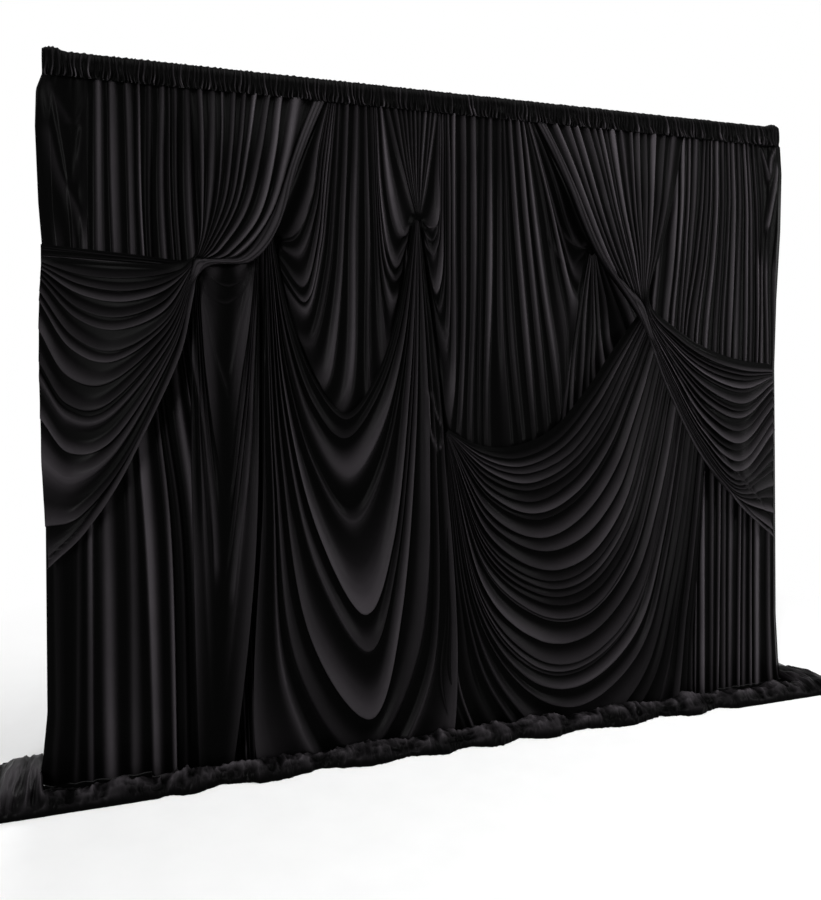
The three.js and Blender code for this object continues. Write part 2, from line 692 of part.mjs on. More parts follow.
function addCrossbar() {
  const bar = new THREE.Group();
  bar.position.set(0, 0, crossbarHeight);
  group.add(bar);
  const outerBar = barTube(barRadius, barBore, barEnd + outerBarReach);
  addPiece(bar, "crossbar_outer_tube", outerBar, finishes.aluminium, [-barEnd, 0, 0], Math.PI);
  const innerBar = barTube(innerBarRadius, innerBarBore, barEnd + innerBarReach);
  addPiece(bar, "crossbar_inner_tube", innerBar, finishes.aluminium, [barEnd, 0, 0]);
  const lockFoot = outerBarReach - twistLockSkirt;
  addPiece(bar, "crossbar_twist_lock", twistLock(), finishes.plastic, [lockFoot, 0, 0]);
  addPiece(bar, "crossbar_inner_end", innerBarEnd(), finishes.plastic, [-innerBarReach, 0, 0]);
  for (const [side, x, bore, radius, turn] of [
    ["left", -barEnd, barBore, barRadius, Math.PI],
    ["right", barEnd, innerBarBore, innerBarRadius, 0],
  ]) {
    addPiece(bar, `${side}_hook_plug`, hookPlug(bore), finishes.aluminium, [x, 0, 0], turn);
    addPiece(bar, `${side}_hook_blade`, hookBlade(), finishes.steel, [x, 0, 0], turn);
    const rivet = crossRod(rivetRadius, -radius, radius, 0).translate(-bladeTail / 2, 0, 0);
    addPiece(bar, `${side}_hook_rivet`, rivet, finishes.steel, [x, 0, 0], turn);
  }
}

// A closed body from rings of points that lie one after another, with the same count in each. The ends
// are closed in zigzag from a ring's two ends to its middle, which suits the outline of a thin bent strip.
function lofted(rings) {
  const count = rings[0].length;
  const places = rings.flat(2);
  const index = [];
  for (let i = 0; i + 1 < rings.length; i += 1) {
    for (let j = 0; j < count; j += 1) {
      const a = i * count + j;
      const b = i * count + ((j + 1) % count);
      index.push(a, b, b + count, a, b + count, a + count);
    }
  }
  const last = (rings.length - 1) * count;
  const closeEnds = (a, b, c) => index.push(a, c, b, last + a, last + b, last + c);
  for (let near = 0, far = count - 1; near + 1 < far; near += 1, far -= 1) {
    closeEnds(near, near + 1, far);
    if (near + 1 < far - 1) closeEnds(near + 1, far - 1, far);
  }
  const geometry = new THREE.BufferGeometry();
  geometry.setAttribute("position", new THREE.Float32BufferAttribute(places, 3));
  geometry.setIndex(index);
  return geometry;
}

// How far cloth at a height has come from the header: 0 at the casing, 1 a lead length below it.
function lead(z) {
  return THREE.MathUtils.clamp((drapeTop - z) / leadLength, 0, 1);
}

// Where the points of a fold line lie: in even steps, but a line from the header has its first one end
// with the lead.
function rowPlaces(line, rows) {
  if (lead(line.getPoint(0).z) > 0.5) {
    return Array.from({ length: rows + 1 }, (_, i) => i / rows);
  }
  let above = 0;
  let below = 0.5;
  for (let k = 0; k < bisections; k += 1) {
    const middle = (above + below) / 2;
    if (drapeTop - line.getPoint(middle).z < leadLength) above = middle;
    else below = middle;
  }
  return [0, ...Array.from({ length: rows }, (_, i) => below + ((1 - below) * i) / (rows - 1))];
}

// How far back the side drapes lie towards the outer edges, where only the back curtain is behind them.
function retreat(x) {
  return (sidePlane - edgePlane) * THREE.MathUtils.smoothstep(Math.abs(x), retreatStart, retreatEnd);
}

// Where a point of a fold line hangs, once its panel's depth is known. A panel that wraps turns round the
// upright with its outermost fold. Any other is drawn to scale for its depth, as it was read.
function hungPoint(point, ridge, { plane, headerDepth, retreats, wraps }) {
  const along = lead(point.z);
  const hung = headerDepth + (plane - headerDepth) * along - retreats(point.x);
  const nearer = (eyeDistance - hung) / (eyeDistance - readDepth);
  const wrap = wraps ? Math.max(0, Math.abs(point.x) - halfDrape + wrapReach) / wrapReach : 0;
  const depth = THREE.MathUtils.lerp(hung, wrapDepth, wrap) + ridge * (1 - wrap);
  return [
    wraps ? point.x : eyeX + (point.x - eyeX) * nearer,
    -(depth + clothThickness / 2),
    point.z + along * (point.z - eyeHeight) * (nearer - 1),
  ];
}

// A folded panel of cloth. Its fold lines are ridges, with foldsPerSpan folds from each line to the next,
// and rows steps along each line. It hangs about its plane, draws in to headerDepth at the casing and steps
// back by retreats(x).
function foldedPanel({
  shares, foldsPerSpan, rows, fold, plane, headerDepth, retreats = () => 0, wraps = false,
}) {
  const smooth = (points) => new THREE.CatmullRomCurve3(points, false, "catmullrom");
  const lines = shares.map((line) =>
    line.map(([x, z]) => new THREE.Vector3(x * halfDrape, 0, z * (drapeTop - seatGap))),
  );
  const across = lines[0].map((_, i) => smooth(lines.map((line) => line[i])));
  const columns = 2 * foldsPerSpan * (lines.length - 1);
  const grid = [];
  for (let j = 0; j <= columns; j += 1) {
    const line = smooth(across.map((curve) => curve.getPoint(j / columns)));
    grid.push(rowPlaces(line, rows).map((u) => line.getPoint(u)));
  }
  const front = grid.map((column, j) => column.map((point, i) => {
    const next = grid[j < columns ? j + 1 : j - 1][i];
    const most = headerFold + (fold - headerFold) * lead(point.z);
    const height = Math.min(most, foldSteepnessShare * point.distanceTo(next));
    return hungPoint(point, j % 2 === 0 ? height : -height, { plane, headerDepth, retreats, wraps });
  }));
  // Each ring goes down the front of one column and back up behind it.
  const behind = ([x, y, z]) => [x, y + clothThickness, z];
  return solid(lofted(front.map((column) => [...column, ...column.map(behind).reverse()])));
}

// Takes away what would lie below the hem line or in the base plates.
function trimmedAtHem(panel) {
  const ground = block(2 * drapeWidth, 2 * plateSide, drapeTop);
  ground.translate(0, 0, hemClearance - drapeTop / 2);
  let body = panel.subtract(solid(ground));
  for (const x of [-uprightX, uprightX]) {
    const room = plateSide + 2 * seatGap;
    const plate = block(room, room, plateTop + seatGap).translate(x, 0, (plateTop + seatGap) / 2);
    body = body.subtract(solid(plate));
  }
  return body;
}

// The two edges of a panel that hangs straight, from the header to a little below the hem.
function straightPanelShares(from, to) {
  return [from, to].map((x) => [[x, 1], [x, 1 / 2], [x, -hemOverrunShare]]);
}

function addCurtains() {
  const cloth = finishes.cloth;
  const split = panelGap / 2 / halfDrape;
  const back = {
    headerDepth: backHeaderDepth, foldsPerSpan: 18, rows: 4, fold: backFold, plane: backPlane, wraps: true,
  };
  for (const [side, from, to] of [["left", -1, -split], ["right", split, 1]]) {
    const shares = straightPanelShares(from, to);
    addPiece(group, `back_curtain_${side}`, trimmedAtHem(foldedPanel({ ...back, shares })), cloth);
  }
  const front = { headerDepth: frontHeaderDepth };
  addPiece(group, "upper_curtain", foldedPanel({
    ...front, shares: upperCurtainShares, foldsPerSpan: 1, rows: 6, fold: upperFold, plane: upperPlane,
  }), cloth);
  addPiece(group, "gathered_fan", foldedPanel({
    ...front, shares: fanShares, foldsPerSpan: 1, rows: 4, fold: fanFold, plane: fanPlane,
  }), cloth);
  const swag = { ...front, fold: swagFold, plane: swagPlane };
  addPiece(group, "left_column_curtain", trimmedAtHem(foldedPanel({
    ...swag, shares: columnShares, foldsPerSpan: 1, rows: 8,
  })), cloth);
  addPiece(group, "left_floor_swag", trimmedAtHem(foldedPanel({
    ...swag, shares: leftFloorSwagShares, foldsPerSpan: 2, rows: 9,
  })), cloth);
  addPiece(group, "right_floor_swag", trimmedAtHem(foldedPanel({
    ...swag, shares: rightFloorSwagShares, foldsPerSpan: 2, rows: 9,
  })), cloth);
  const side = { ...front, fold: sideFold, plane: sidePlane, foldsPerSpan: 2, retreats: retreat };
  addPiece(group, "left_side_drape", foldedPanel({ ...side, shares: leftSideShares, rows: 10 }), cloth);
  addPiece(group, "right_side_drape", foldedPanel({ ...side, shares: rightSideShares, rows: 8 }), cloth);
  addPiece(group, "left_sash", foldedPanel({
    ...front, shares: sashShares, foldsPerSpan: 2, rows: 10, fold: sashFold, plane: sashPlane,
  }), cloth);
}

// Header casing: a gathered sleeve round the crossbar, open at both ends, which hoods the masts' tops.
function headerCasing() {
  const rings = Array.from({ length: casingStations + 1 }, (_, i) => {
    const x = halfDrape * ((2 * i) / casingStations - 1);
    const pucker = (i % 2 === 0 ? 1 : -1) * casingPucker;
    return casingOutlineShares.map(([yShare, zShare]) => {
      const y = yShare * (casingHalfDepth + pucker);
      const z = zShare > 0 ? zShare * (casingRise + pucker) : zShare * casingDrop;
      return [x, y, crossbarHeight + z];
    });
  });
  let body = solid(lofted(rings));
  const bore = rod(casingBore, 2 * drapeWidth).rotateY(Math.PI / 2);
  bore.translate(-drapeWidth, 0, crossbarHeight);
  body = body.subtract(solid(bore));
  for (const x of [-uprightX, uprightX]) {
    const top = mastTop + capThickness + mastSleeveGap;
    const sleeve = rod(mastRadius + mastSleeveGap, top - mastFoot).translate(x, 0, mastFoot);
    const hookDrop = slotDrop + cutOverrun;
    const hookRoom = block(2 * (uprightX - barEnd), bladeThickness + 2 * mastSleeveGap, hookDrop);
    hookRoom.translate(x, 0, crossbarHeight - hookDrop / 2);
    body = body.subtract(solid(sleeve)).subtract(solid(hookRoom));
  }
  return body;
}

// Surplus length of the front drapes, lying in rucks along the floor and over the base plates.
function puddledHem() {
  const back = sidePlane - slabDepth(sideFold) / 2;
  const depth = puddleFront - back;
  const rings = Array.from({ length: puddleStations + 1 }, (_, i) => {
    const share = (2 * i) / puddleStations - 1;
    const end = THREE.MathUtils.lerp(1, puddleEndShare, share ** puddleEndSharpness);
    const height = puddleHeight * end * (i % 2 === 0 ? 1 : puddleLowShare);
    const front = back + depth * (i % 2 === 0 ? 1 : puddleNearShare);
    const x = puddleReach * share;
    return [
      [x, -back, hemClearance],
      [x, -back, hemClearance + height],
      [x, -THREE.MathUtils.lerp(back, front, puddleCrestShare), hemClearance + height],
      [x, -front, hemClearance + puddleToe],
      [x, -front, hemClearance],
    ];
  });
  return trimmedAtHem(solid(lofted(rings)));
}

addFoot("left", -uprightX);
addFoot("right", uprightX);
addMast("left", -uprightX);
addMast("right", uprightX);
addCrossbar();
addPiece(group, "header_casing", headerCasing(), finishes.cloth);
addCurtains();
addPiece(group, "puddled_hem", puddledHem(), finishes.cloth);

export default group;
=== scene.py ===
"""A pipe and drape backdrop: a telescopic frame dressed with swags of black stretch satin."""

import json
import logging
import math
from collections.abc import Callable
from dataclasses import dataclass, field
from enum import Enum

import bpy
import numpy as np
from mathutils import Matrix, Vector


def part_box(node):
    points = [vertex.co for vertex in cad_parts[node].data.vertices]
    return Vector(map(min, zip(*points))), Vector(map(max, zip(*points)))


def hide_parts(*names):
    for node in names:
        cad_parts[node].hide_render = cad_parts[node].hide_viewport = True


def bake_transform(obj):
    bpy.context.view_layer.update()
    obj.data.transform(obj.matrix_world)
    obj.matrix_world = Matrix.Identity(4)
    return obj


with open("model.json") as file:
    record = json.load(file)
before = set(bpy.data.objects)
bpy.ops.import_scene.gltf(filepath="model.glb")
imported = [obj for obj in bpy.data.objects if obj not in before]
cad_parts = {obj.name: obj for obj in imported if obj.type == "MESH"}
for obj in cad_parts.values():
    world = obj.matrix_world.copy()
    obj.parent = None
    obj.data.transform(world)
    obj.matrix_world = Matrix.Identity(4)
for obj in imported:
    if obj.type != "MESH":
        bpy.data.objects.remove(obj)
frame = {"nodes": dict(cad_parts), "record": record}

log = logging.getLogger("backdrop")

MM = 0.001

Array = np.ndarray
Socket = bpy.types.NodeSocket
Pair = tuple[float, float]
Triple = tuple[float, float, float]
Line = tuple[Pair, ...]
Marks = tuple[Triple, ...]
Spans = tuple[float, float, float, float]
Surface = tuple[Array, Array, Array | None]

ALL_ALONG: Spans = (-1.0, -0.5, 1.5, 2.0)


class Slot(Enum):
    """The finishes of the frame and its drape."""

    CLOTH = "cloth"
    PLATE_STEEL = "plate_steel"
    ALUMINIUM = "aluminium"
    STEEL = "steel"
    PLASTIC = "plastic"
    RUBBER = "rubber"


class Held(Enum):
    """How a sheet of cloth is held."""

    HUNG = "hung"
    GATHERED = "gathered"
    LAID = "laid"
    STRETCHED = "stretched"


class NodeSheet:
    """The node tree of one material, laid out as it is written."""

    RADIANS_AT_SCALE_1 = 20

    def __init__(self, name: str) -> None:
        """Starts a material of that name with a bare surface shader."""
        self.material = bpy.data.materials.new(name)
        self.material.use_nodes = True
        self.tree = self.material.node_tree
        self.shader = self.tree.nodes["Principled BSDF"]
        self.output = self.tree.nodes["Material Output"]

    def add(self, kind: str, inputs: dict | None = None, **settings: object) -> bpy.types.Node:
        """Adds one node.

        Args:
            kind: The node's type.
            inputs: Values or sockets for the node's inputs, by name or place.
            settings: Values of the node's own properties.

        Returns:
            The node.
        """
        node = self.tree.nodes.new(kind)
        for key, value in settings.items():
            setattr(node, key, value)
        for key, value in (inputs or {}).items():
            self.feed(node.inputs[key], value)
        return node

    def feed(self, socket: Socket, value: object) -> None:
        """Links a socket to another, or gives it a value."""
        if isinstance(value, Socket):
            self.tree.links.new(value, socket)
        else:
            socket.default_value = value

    def surface(self, **inputs: object) -> None:
        """Fills inputs of the surface shader, whose names are written with underscores."""
        for key, value in inputs.items():
            self.feed(self.shader.inputs[key.replace("_", " ")], value)

    def place(self) -> Socket:
        """Where a point lies on the object, in metres."""
        return self.add("ShaderNodeTexCoord").outputs["Object"]

    def cut(self) -> Socket:
        """Where a point lies on the flat cloth, in metres."""
        return self.add("ShaderNodeUVMap", uv_map="cut").outputs["UV"]

    def crest(self) -> Socket:
        """A point of cloth's share of the painted highlight, which is lightest on the crest of its fold, from 0 to
        1.
        """
        split = self.add("ShaderNodeSeparateXYZ")
        self.feed(split.inputs[0], self.add("ShaderNodeUVMap", uv_map="crest").outputs["UV"])
        return split.outputs["X"]

    def stretched(self, place: Socket, scale: Triple) -> Socket:
        """A place with each axis scaled."""
        return self.add("ShaderNodeMapping", {"Vector": place, "Scale": scale}).outputs["Vector"]

    def noise(self, place: Socket, scale: float, detail: float = 2.0, rough: float = 0.5) -> Socket:
        """A cloudy value about 0.5.

        Args:
            place: Where it is read.
            scale: How many clouds there are in a metre.
            detail: How many octaves of finer clouds lie on them.
            rough: How strong the finer ones are.

        Returns:
            The value.
        """
        inputs = {"Vector": place, "Scale": scale, "Detail": detail, "Roughness": rough}
        return self.add("ShaderNodeTexNoise", inputs).outputs["Fac"]

    def spread(self, value: Socket, source: Pair, target: Pair) -> Socket:
        """Moves a value from one range to another, and holds it there.

        Args:
            value: The value.
            source: The range that it comes from.
            target: The range that it goes to.

        Returns:
            The moved value.
        """
        inputs = {"Value": value, 1: source[0], 2: source[1], 3: target[0], 4: target[1]}
        return self.add("ShaderNodeMapRange", inputs).outputs["Result"]

    def blend(self, share: Socket, low: "Colour", high: "Colour") -> Socket:
        """A colour between two.

        Args:
            share: The second one's share, from 0 to 1.
            low, high: The two.

        Returns:
            The colour between them.
        """
        node = self.add("ShaderNodeMix", data_type="RGBA")
        self.feed(node.inputs["Factor"], share)
        self.feed(node.inputs["A"], low.linear())
        self.feed(node.inputs["B"], high.linear())
        return node.outputs["Result"]

    def math(self, operation: str, *values: object) -> Socket:
        """One sum of values, which are numbers or sockets."""
        node = self.add("ShaderNodeMath", operation=operation)
        for socket, value in zip(node.inputs, values):
            self.feed(socket, value)
        return node.outputs["Value"]

    def mix(self, one: Socket, one_share: float, other: Socket, other_share: float) -> Socket:
        """The sum of two values, each times its share."""
        return self.math(
            "ADD", self.math("MULTIPLY", one, one_share), self.math("MULTIPLY", other, other_share)
        )

    def bands(self, place: Socket, way: str, radians: float) -> Socket:
        """Soft bands across one axis.

        Args:
            place: Where they are read.
            way: The axis, X or Y.
            radians: How much of their wave a metre holds.

        Returns:
            A value from 0 to 1.
        """
        wave = self.add(
            "ShaderNodeTexWave", {"Vector": place, "Scale": radians / self.RADIANS_AT_SCALE_1},
            wave_type="BANDS", bands_direction=way, wave_profile="SIN",
        )
        return wave.outputs["Fac"]

    def raised(self, height: Socket, depth: float, under: object = None) -> Socket:
        """A surface normal that shows a height.

        Args:
            height: The height, from 0 to 1.
            depth: How far 1 stands out, in metres.
            under: The normal of a coarser relief, if there is one.

        Returns:
            The normal.
        """
        node = self.add("ShaderNodeBump", {"Height": height, "Distance": depth, "Strength": 1.0})
        if under is not None:
            self.feed(node.inputs["Normal"], under)
        return node.outputs["Normal"]


@dataclass(frozen=True)
class Colour:
    """A colour as it is seen on a screen, with channels from 0 to 255."""

    red: float
    green: float
    blue: float

    def linear(self) -> tuple[float, float, float, float]:
        """The colour as light, with full cover."""
        shares = [c / 255 for c in (self.red, self.green, self.blue)]
        low, slope, offset, power = 0.04045, 12.92, 0.055, 2.4
        light = [s / slope if s <= low else ((s + offset) / (1 + offset)) ** power for s in shares]
        return (*light, 1.0)


@dataclass(frozen=True)
class StretchSatin:
    """Smooth black polyester stretch satin, knitted finely, with a soft sheen, a painted highlight along the crests
    of its folds and painted shade in their valleys.

    Fields:
        deep, crest_light, painted_highlight: Its colour in the valleys, darkened as painted shade, its colour on
            the crests, lightened as a painted highlight, and how narrow those painted highlights are.
        stitch_radian: How much cloth there is for each radian of a stitch.
        cloudiness, streakiness, shades: What its unevenness is made of, and which counts as none and as all.
    """

    name: str = "black_stretch_satin"
    deep: Colour = Colour(2, 2, 2)
    crest_light: Colour = Colour(56, 53, 56)
    painted_highlight: float = 3.0
    roughness: Pair = (0.27, 0.37)
    gloss: float = 0.009
    sheen: float = 0.004
    sheen_roughness: float = 0.3
    stitch_radian: float = 0.9 * MM
    stitch_depth: float = 0.05 * MM
    crease_pitch: float = 90 * MM
    crease_depth: float = 1.5 * MM
    cloudiness: float = 0.6
    streakiness: float = 0.4
    shades: Pair = (0.35, 0.65)

    def material(self) -> bpy.types.Material:
        """The finish as a material."""
        sheet = NodeSheet(self.name)
        cut = sheet.cut()
        cloudy = sheet.noise(sheet.place(), 3.0, 4.0, 0.6)
        streaky = sheet.noise(sheet.stretched(cut, (30.0, 1.5, 1.0)), 1.0, 3.0)
        shade = sheet.mix(cloudy, self.cloudiness, streaky, self.streakiness)
        # Painted highlight and shade: the colour runs from dark in the fold valleys to light on their crests, by
        # each point's crest share.
        crest = sheet.math("POWER", sheet.crest(), self.painted_highlight)
        rub_and_highlight = sheet.math("MULTIPLY", crest, sheet.spread(shade, self.shades, (0.7, 1)))
        colour = sheet.blend(rub_and_highlight, self.deep, self.crest_light)
        rough = sheet.spread(shade, self.shades, self.roughness)
        knit = sheet.math("MULTIPLY", *(sheet.bands(cut, way, 1 / self.stitch_radian) for way in "XY"))
        creases = sheet.noise(sheet.stretched(cut, (1 / self.crease_pitch, 5.0, 1.0)), 1.0, 1.0, 0.4)
        relief = sheet.raised(creases, self.crease_depth)
        sheet.surface(
            Base_Color=colour,
            Roughness=rough,
            Specular_IOR_Level=self.gloss,
            Sheen_Weight=self.sheen,
            Sheen_Roughness=self.sheen_roughness,
            Normal=sheet.raised(knit, self.stitch_depth, relief),
        )
        return sheet.material


@dataclass(frozen=True)
class BrushedMetal:
    """Bare metal tube or sheet, brushed one way, with fine rub marks."""

    name: str
    bright: Colour
    dull: Colour
    roughness: Pair
    grain: Triple
    grain_depth: float = 0.03 * MM

    def material(self) -> bpy.types.Material:
        """The finish as a material."""
        sheet = NodeSheet(self.name)
        place = sheet.place()
        brushed = sheet.noise(sheet.stretched(place, self.grain), 1.0, 3.0, 0.6)
        cloudy = sheet.noise(place, 14.0, 4.0, 0.6)
        rub_and_highlight = sheet.mix(brushed, 0.5, cloudy, 0.5)
        share = sheet.spread(rub_and_highlight, (0.38, 0.62), (0, 1))
        sheet.surface(
            Base_Color=sheet.blend(share, self.dull, self.bright),
            Metallic=1.0,
            Roughness=sheet.spread(share, (0, 1), (self.roughness[1], self.roughness[0])),
            Normal=sheet.raised(brushed, self.grain_depth),
        )
        return sheet.material


@dataclass(frozen=True)
class PowderCoat:
    """Black powder coat on steel, finely pebbled, with scuffs that show greyer."""

    name: str = "black_powder_coat"
    coat: Colour = Colour(34, 34, 35)
    scuffed: Colour = Colour(74, 73, 71)
    roughness: Pair = (0.45, 0.7)
    pebble_size: float = 0.8 * MM
    pebble_depth: float = 0.12 * MM

    def material(self) -> bpy.types.Material:
        """The finish as a material."""
        sheet = NodeSheet(self.name)
        place = sheet.place()
        pebbles = sheet.noise(place, 1 / self.pebble_size, 2.0)
        scratches = sheet.noise(sheet.stretched(place, (9.0, 60.0, 30.0)), 1.0, 4.0, 0.7)
        scuffs = sheet.spread(scratches, (0.6, 0.75), (0, 0.7))
        sheet.surface(
            Base_Color=sheet.blend(scuffs, self.coat, self.scuffed),
            Roughness=sheet.spread(sheet.noise(place, 20.0, 3.0), (0.3, 0.7), self.roughness),
            Normal=sheet.raised(pebbles, self.pebble_depth),
        )
        return sheet.material


@dataclass(frozen=True)
class Moulded:
    """A moulded part of nylon or rubber: spark-eroded texture, faint flow marks and handling shine."""

    name: str
    body: Colour
    rub_and_highlight: Colour
    roughness: Pair
    texture_size: float = 0.5 * MM
    texture_depth: float = 0.06 * MM

    def material(self) -> bpy.types.Material:
        """The finish as a material."""
        sheet = NodeSheet(self.name)
        place = sheet.place()
        cloudy = sheet.noise(place, 35.0, 4.0, 0.6)
        share = sheet.spread(cloudy, (0.35, 0.7), (0, 1))
        pits = sheet.add("ShaderNodeTexVoronoi", {"Vector": place, "Scale": 1 / self.texture_size})
        sheet.surface(
            Base_Color=sheet.blend(share, self.body, self.rub_and_highlight),
            Roughness=sheet.spread(share, (0, 1), (self.roughness[1], self.roughness[0])),
            Normal=sheet.raised(pits.outputs["Distance"], self.texture_depth),
        )
        return sheet.material


@dataclass(frozen=True)
class Finishes:
    """Every finish of the backdrop, one for each slot."""

    cloth: StretchSatin = StretchSatin()
    plate_steel: PowderCoat = PowderCoat()
    aluminium: BrushedMetal = BrushedMetal(
        "brushed_aluminium", Colour(196, 198, 200), Colour(150, 152, 155), (0.28, 0.5), (400.0, 400.0, 6.0)
    )
    steel: BrushedMetal = BrushedMetal(
        "zinc_plated_steel", Colour(186, 187, 184), Colour(120, 121, 122), (0.25, 0.48), (120.0, 120.0, 120.0)
    )
    plastic: Moulded = Moulded("black_nylon", Colour(24, 24, 25), Colour(38, 38, 39), (0.35, 0.6))
    rubber: Moulded = Moulded(
        "black_rubber", Colour(20, 20, 20), Colour(46, 45, 43), (0.7, 0.9), 1.2 * MM, 0.1 * MM
    )

    def materials(self) -> dict[Slot, bpy.types.Material]:
        """One material for each slot."""
        return {slot: getattr(self, slot.value).material() for slot in Slot}


@dataclass(frozen=True)
class Place:
    """How the drape hangs from its header, and the eye that its fold lines were read from.

    Fields:
        line_top: The height that a guide line's 1 stands for.
        lead_length, lead_power: How far below the header the cloth comes out, and how soon folds get deeper there.
        read_depth: How far in front of the frame the fold lines were read.
        header_fold, header_bulge: How deep folds may be at the header, and how far they may stand out.
        drawn_in: How far a base plate comes in under the drape at the least width.
    """

    half_drape: float = 1500 * MM
    drape_top: float = 2370 * MM
    line_top: float = 2369.7 * MM
    lead_length: float = 340 * MM
    lead_power: float = 0.42
    eye_x: float = -1275 * MM
    eye_distance: float = 3120 * MM
    eye_height: float = 1425 * MM
    read_depth: float = 60 * MM
    header_fold: float = 3.2 * MM
    header_bulge: float = 12 * MM
    drawn_in: float = 85 * MM

    def lead(self, z: Array) -> Array:
        """How far cloth at a height has come out from the header, from 0 to 1."""
        return np.clip((self.drape_top - z) / self.lead_length, 0, 1)


PLACE = Place()


def plate_top(x: Array, y: Array, margin: float) -> Array:
    """How high the base plates stand under points, at every width of the frame.

    Args:
        x, y: The points, in metres.
        margin: How near a plate a point counts as over it.

    Returns:
        The plate's top, or 0 where there is none.
    """
    top = np.zeros(np.broadcast(x, y).shape)
    margins = {"left": (margin, PLACE.drawn_in), "right": (PLACE.drawn_in, margin)}
    for side, (left, right) in margins.items():
        (x0, y0, _), (x1, y1, height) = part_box(f"{side}_base_plate")
        over = (x > x0 - left) & (x < x1 + right) & (y > y0 - margin) & (y < y1 + margin)
        top = np.where(over, height, top)
    return top


def rounded(share: Array) -> Array:
    """Shares from 0 to 1 that start and end gently."""
    return share * share * (3 - 2 * share)


def eased(values: Array, start: float, end: float) -> Array:
    """Values turned smoothly from 0 at start to 1 at end."""
    return rounded(np.clip((values - start) / (end - start), 0, 1))


def spanned(along: Array, spans: Spans) -> Array:
    """A share that starts, is full, is still full and ends at four places along a panel."""
    starts, full, still, ends = spans
    return eased(along, starts, full) * (1 - eased(along, still, ends))


def smooth_through(points: Array, places: Array) -> Array:
    """A smooth curve through points, read at places.

    Args:
        points: The points, along the first axis.
        places: Shares of the way along, from 0 to 1.

    Returns:
        One point for each place.
    """
    last = len(points) - 1
    ends = 2 * points[0] - points[1], 2 * points[-1] - points[-2]
    row = np.concatenate([[ends[0]], points, [ends[1]]])
    at = np.clip(places, 0, 1) * last
    k = np.minimum(at.astype(int), last - 1)
    t = (at - k).reshape((-1,) + (1,) * (points.ndim - 1))
    a, b, c, d = row[k], row[k + 1], row[k + 2], row[k + 3]
    square, cube = (2 * a - 5 * b + 4 * c - d) * t**2, (3 * b - a - 3 * c + d) * t**3
    return 0.5 * (2 * b + (c - a) * t + square + cube)


def ruffled(x: Array, along: Array, pitch: float, break_up: float, seed: int) -> Array:
    """Irregular ridges of crumpled cloth.

    Args:
        x: Places across, in metres.
        along: Places along, from 0 to 1.
        pitch: The usual distance between ridges, in metres.
        break_up: How far a ridge runs along before it gives way to others, from 0 to 1.
        seed: Which irregularity.

    Returns:
        Heights from 0 to 1, one row for each place across.
    """
    finer_across, finer_along, layers = 1.8, 1.3, 3
    rng = np.random.default_rng(seed)
    total = np.zeros((len(x), len(along)))
    for layer in range(layers):
        cells_x = int(np.ptp(x) / pitch) + 3
        cells_y = int(1 / break_up) + 3
        values = rng.uniform(0, 1, (cells_x + 1, cells_y + 1))
        slant = rng.uniform(-0.8, 0.8)
        at_x = (x[:, None] - x.min()) / pitch + slant * (along[None, :] - 0.5)
        at_x = np.clip(at_x + rng.uniform(0.5, 1.0), 0, cells_x - 1e-6)
        at_y = np.broadcast_to(along[None, :] / break_up + rng.uniform(0, 1), at_x.shape)
        i, j = at_x.astype(int), at_y.astype(int)
        fx, fy = rounded(at_x - i), rounded(at_y - j)
        low = values[i, j] * (1 - fx) + values[i + 1, j] * fx
        high = values[i, j + 1] * (1 - fx) + values[i + 1, j + 1] * fx
        cloud = low * (1 - fy) + high * fy
        total += (1 - np.abs(2 * cloud - 1)) / 2**layer
        pitch, break_up = pitch / finer_across, break_up / finer_along
    return total / sum(1 / 2**layer for layer in range(layers))


def crowned(share: Array, valley: Array | float, sharp: float) -> Array:
    """How high a fold stands between one ridge and the next.

    Args:
        share: How far along from one ridge to the next, from 0 to 1.
        valley: Where the deepest place is.
        sharp: How narrow the ridges are.

    Returns:
        0 in the valley, and 1 on a ridge.
    """
    rise = np.where(share < valley, 1 - share / valley, (share - valley) / (1 - valley))
    return ((1 - np.cos(np.pi * rise)) / 2) ** sharp


def pleated(x: Array, gaps: Pair, seed: int, valley: float = 0.35) -> Array:
    """Uneven small pleats.

    Args:
        x: Places across, in metres.
        gaps: The least and the most distance between two ridges, in metres.
        seed: Which unevenness.
        valley: Where the deepest place lies between two ridges.

    Returns:
        Heights from 0 to 1.
    """
    rng = np.random.default_rng(seed)
    count = int(np.ptp(x) / gaps[0]) + 6
    places = x.min() - gaps[1] + np.cumsum(rng.uniform(*gaps, count))
    heights = rng.uniform(0.35, 1, count)
    phase = np.interp(x, places, np.arange(count))
    k = np.minimum(phase.astype(int), count - 2)
    share = phase - k
    return crowned(share, valley, 1.3) * np.where(share < valley, heights[k], heights[k + 1])


@dataclass(frozen=True)
class Layout:
    """A panel before it has folds.

    Fields:
        flat: Each point's distance from the middle and its height, in metres.
        guides: Places across the panel, in guide lines.
        spacing: How far apart guide lines are at each point, in metres.
    """

    flat: Array
    guides: Array
    spacing: Array

    def off(self) -> Array:
        """How far each point is from the middle, on either side."""
        return np.abs(self.flat[..., 0])

    def lead(self) -> Array:
        """How far each point has come out from the header."""
        return PLACE.lead(self.flat[..., 1])

    def before_last(self) -> Array:
        """How far each point is from the last edge, in metres."""
        return (self.guides[-1] - self.guides)[:, None] * self.spacing


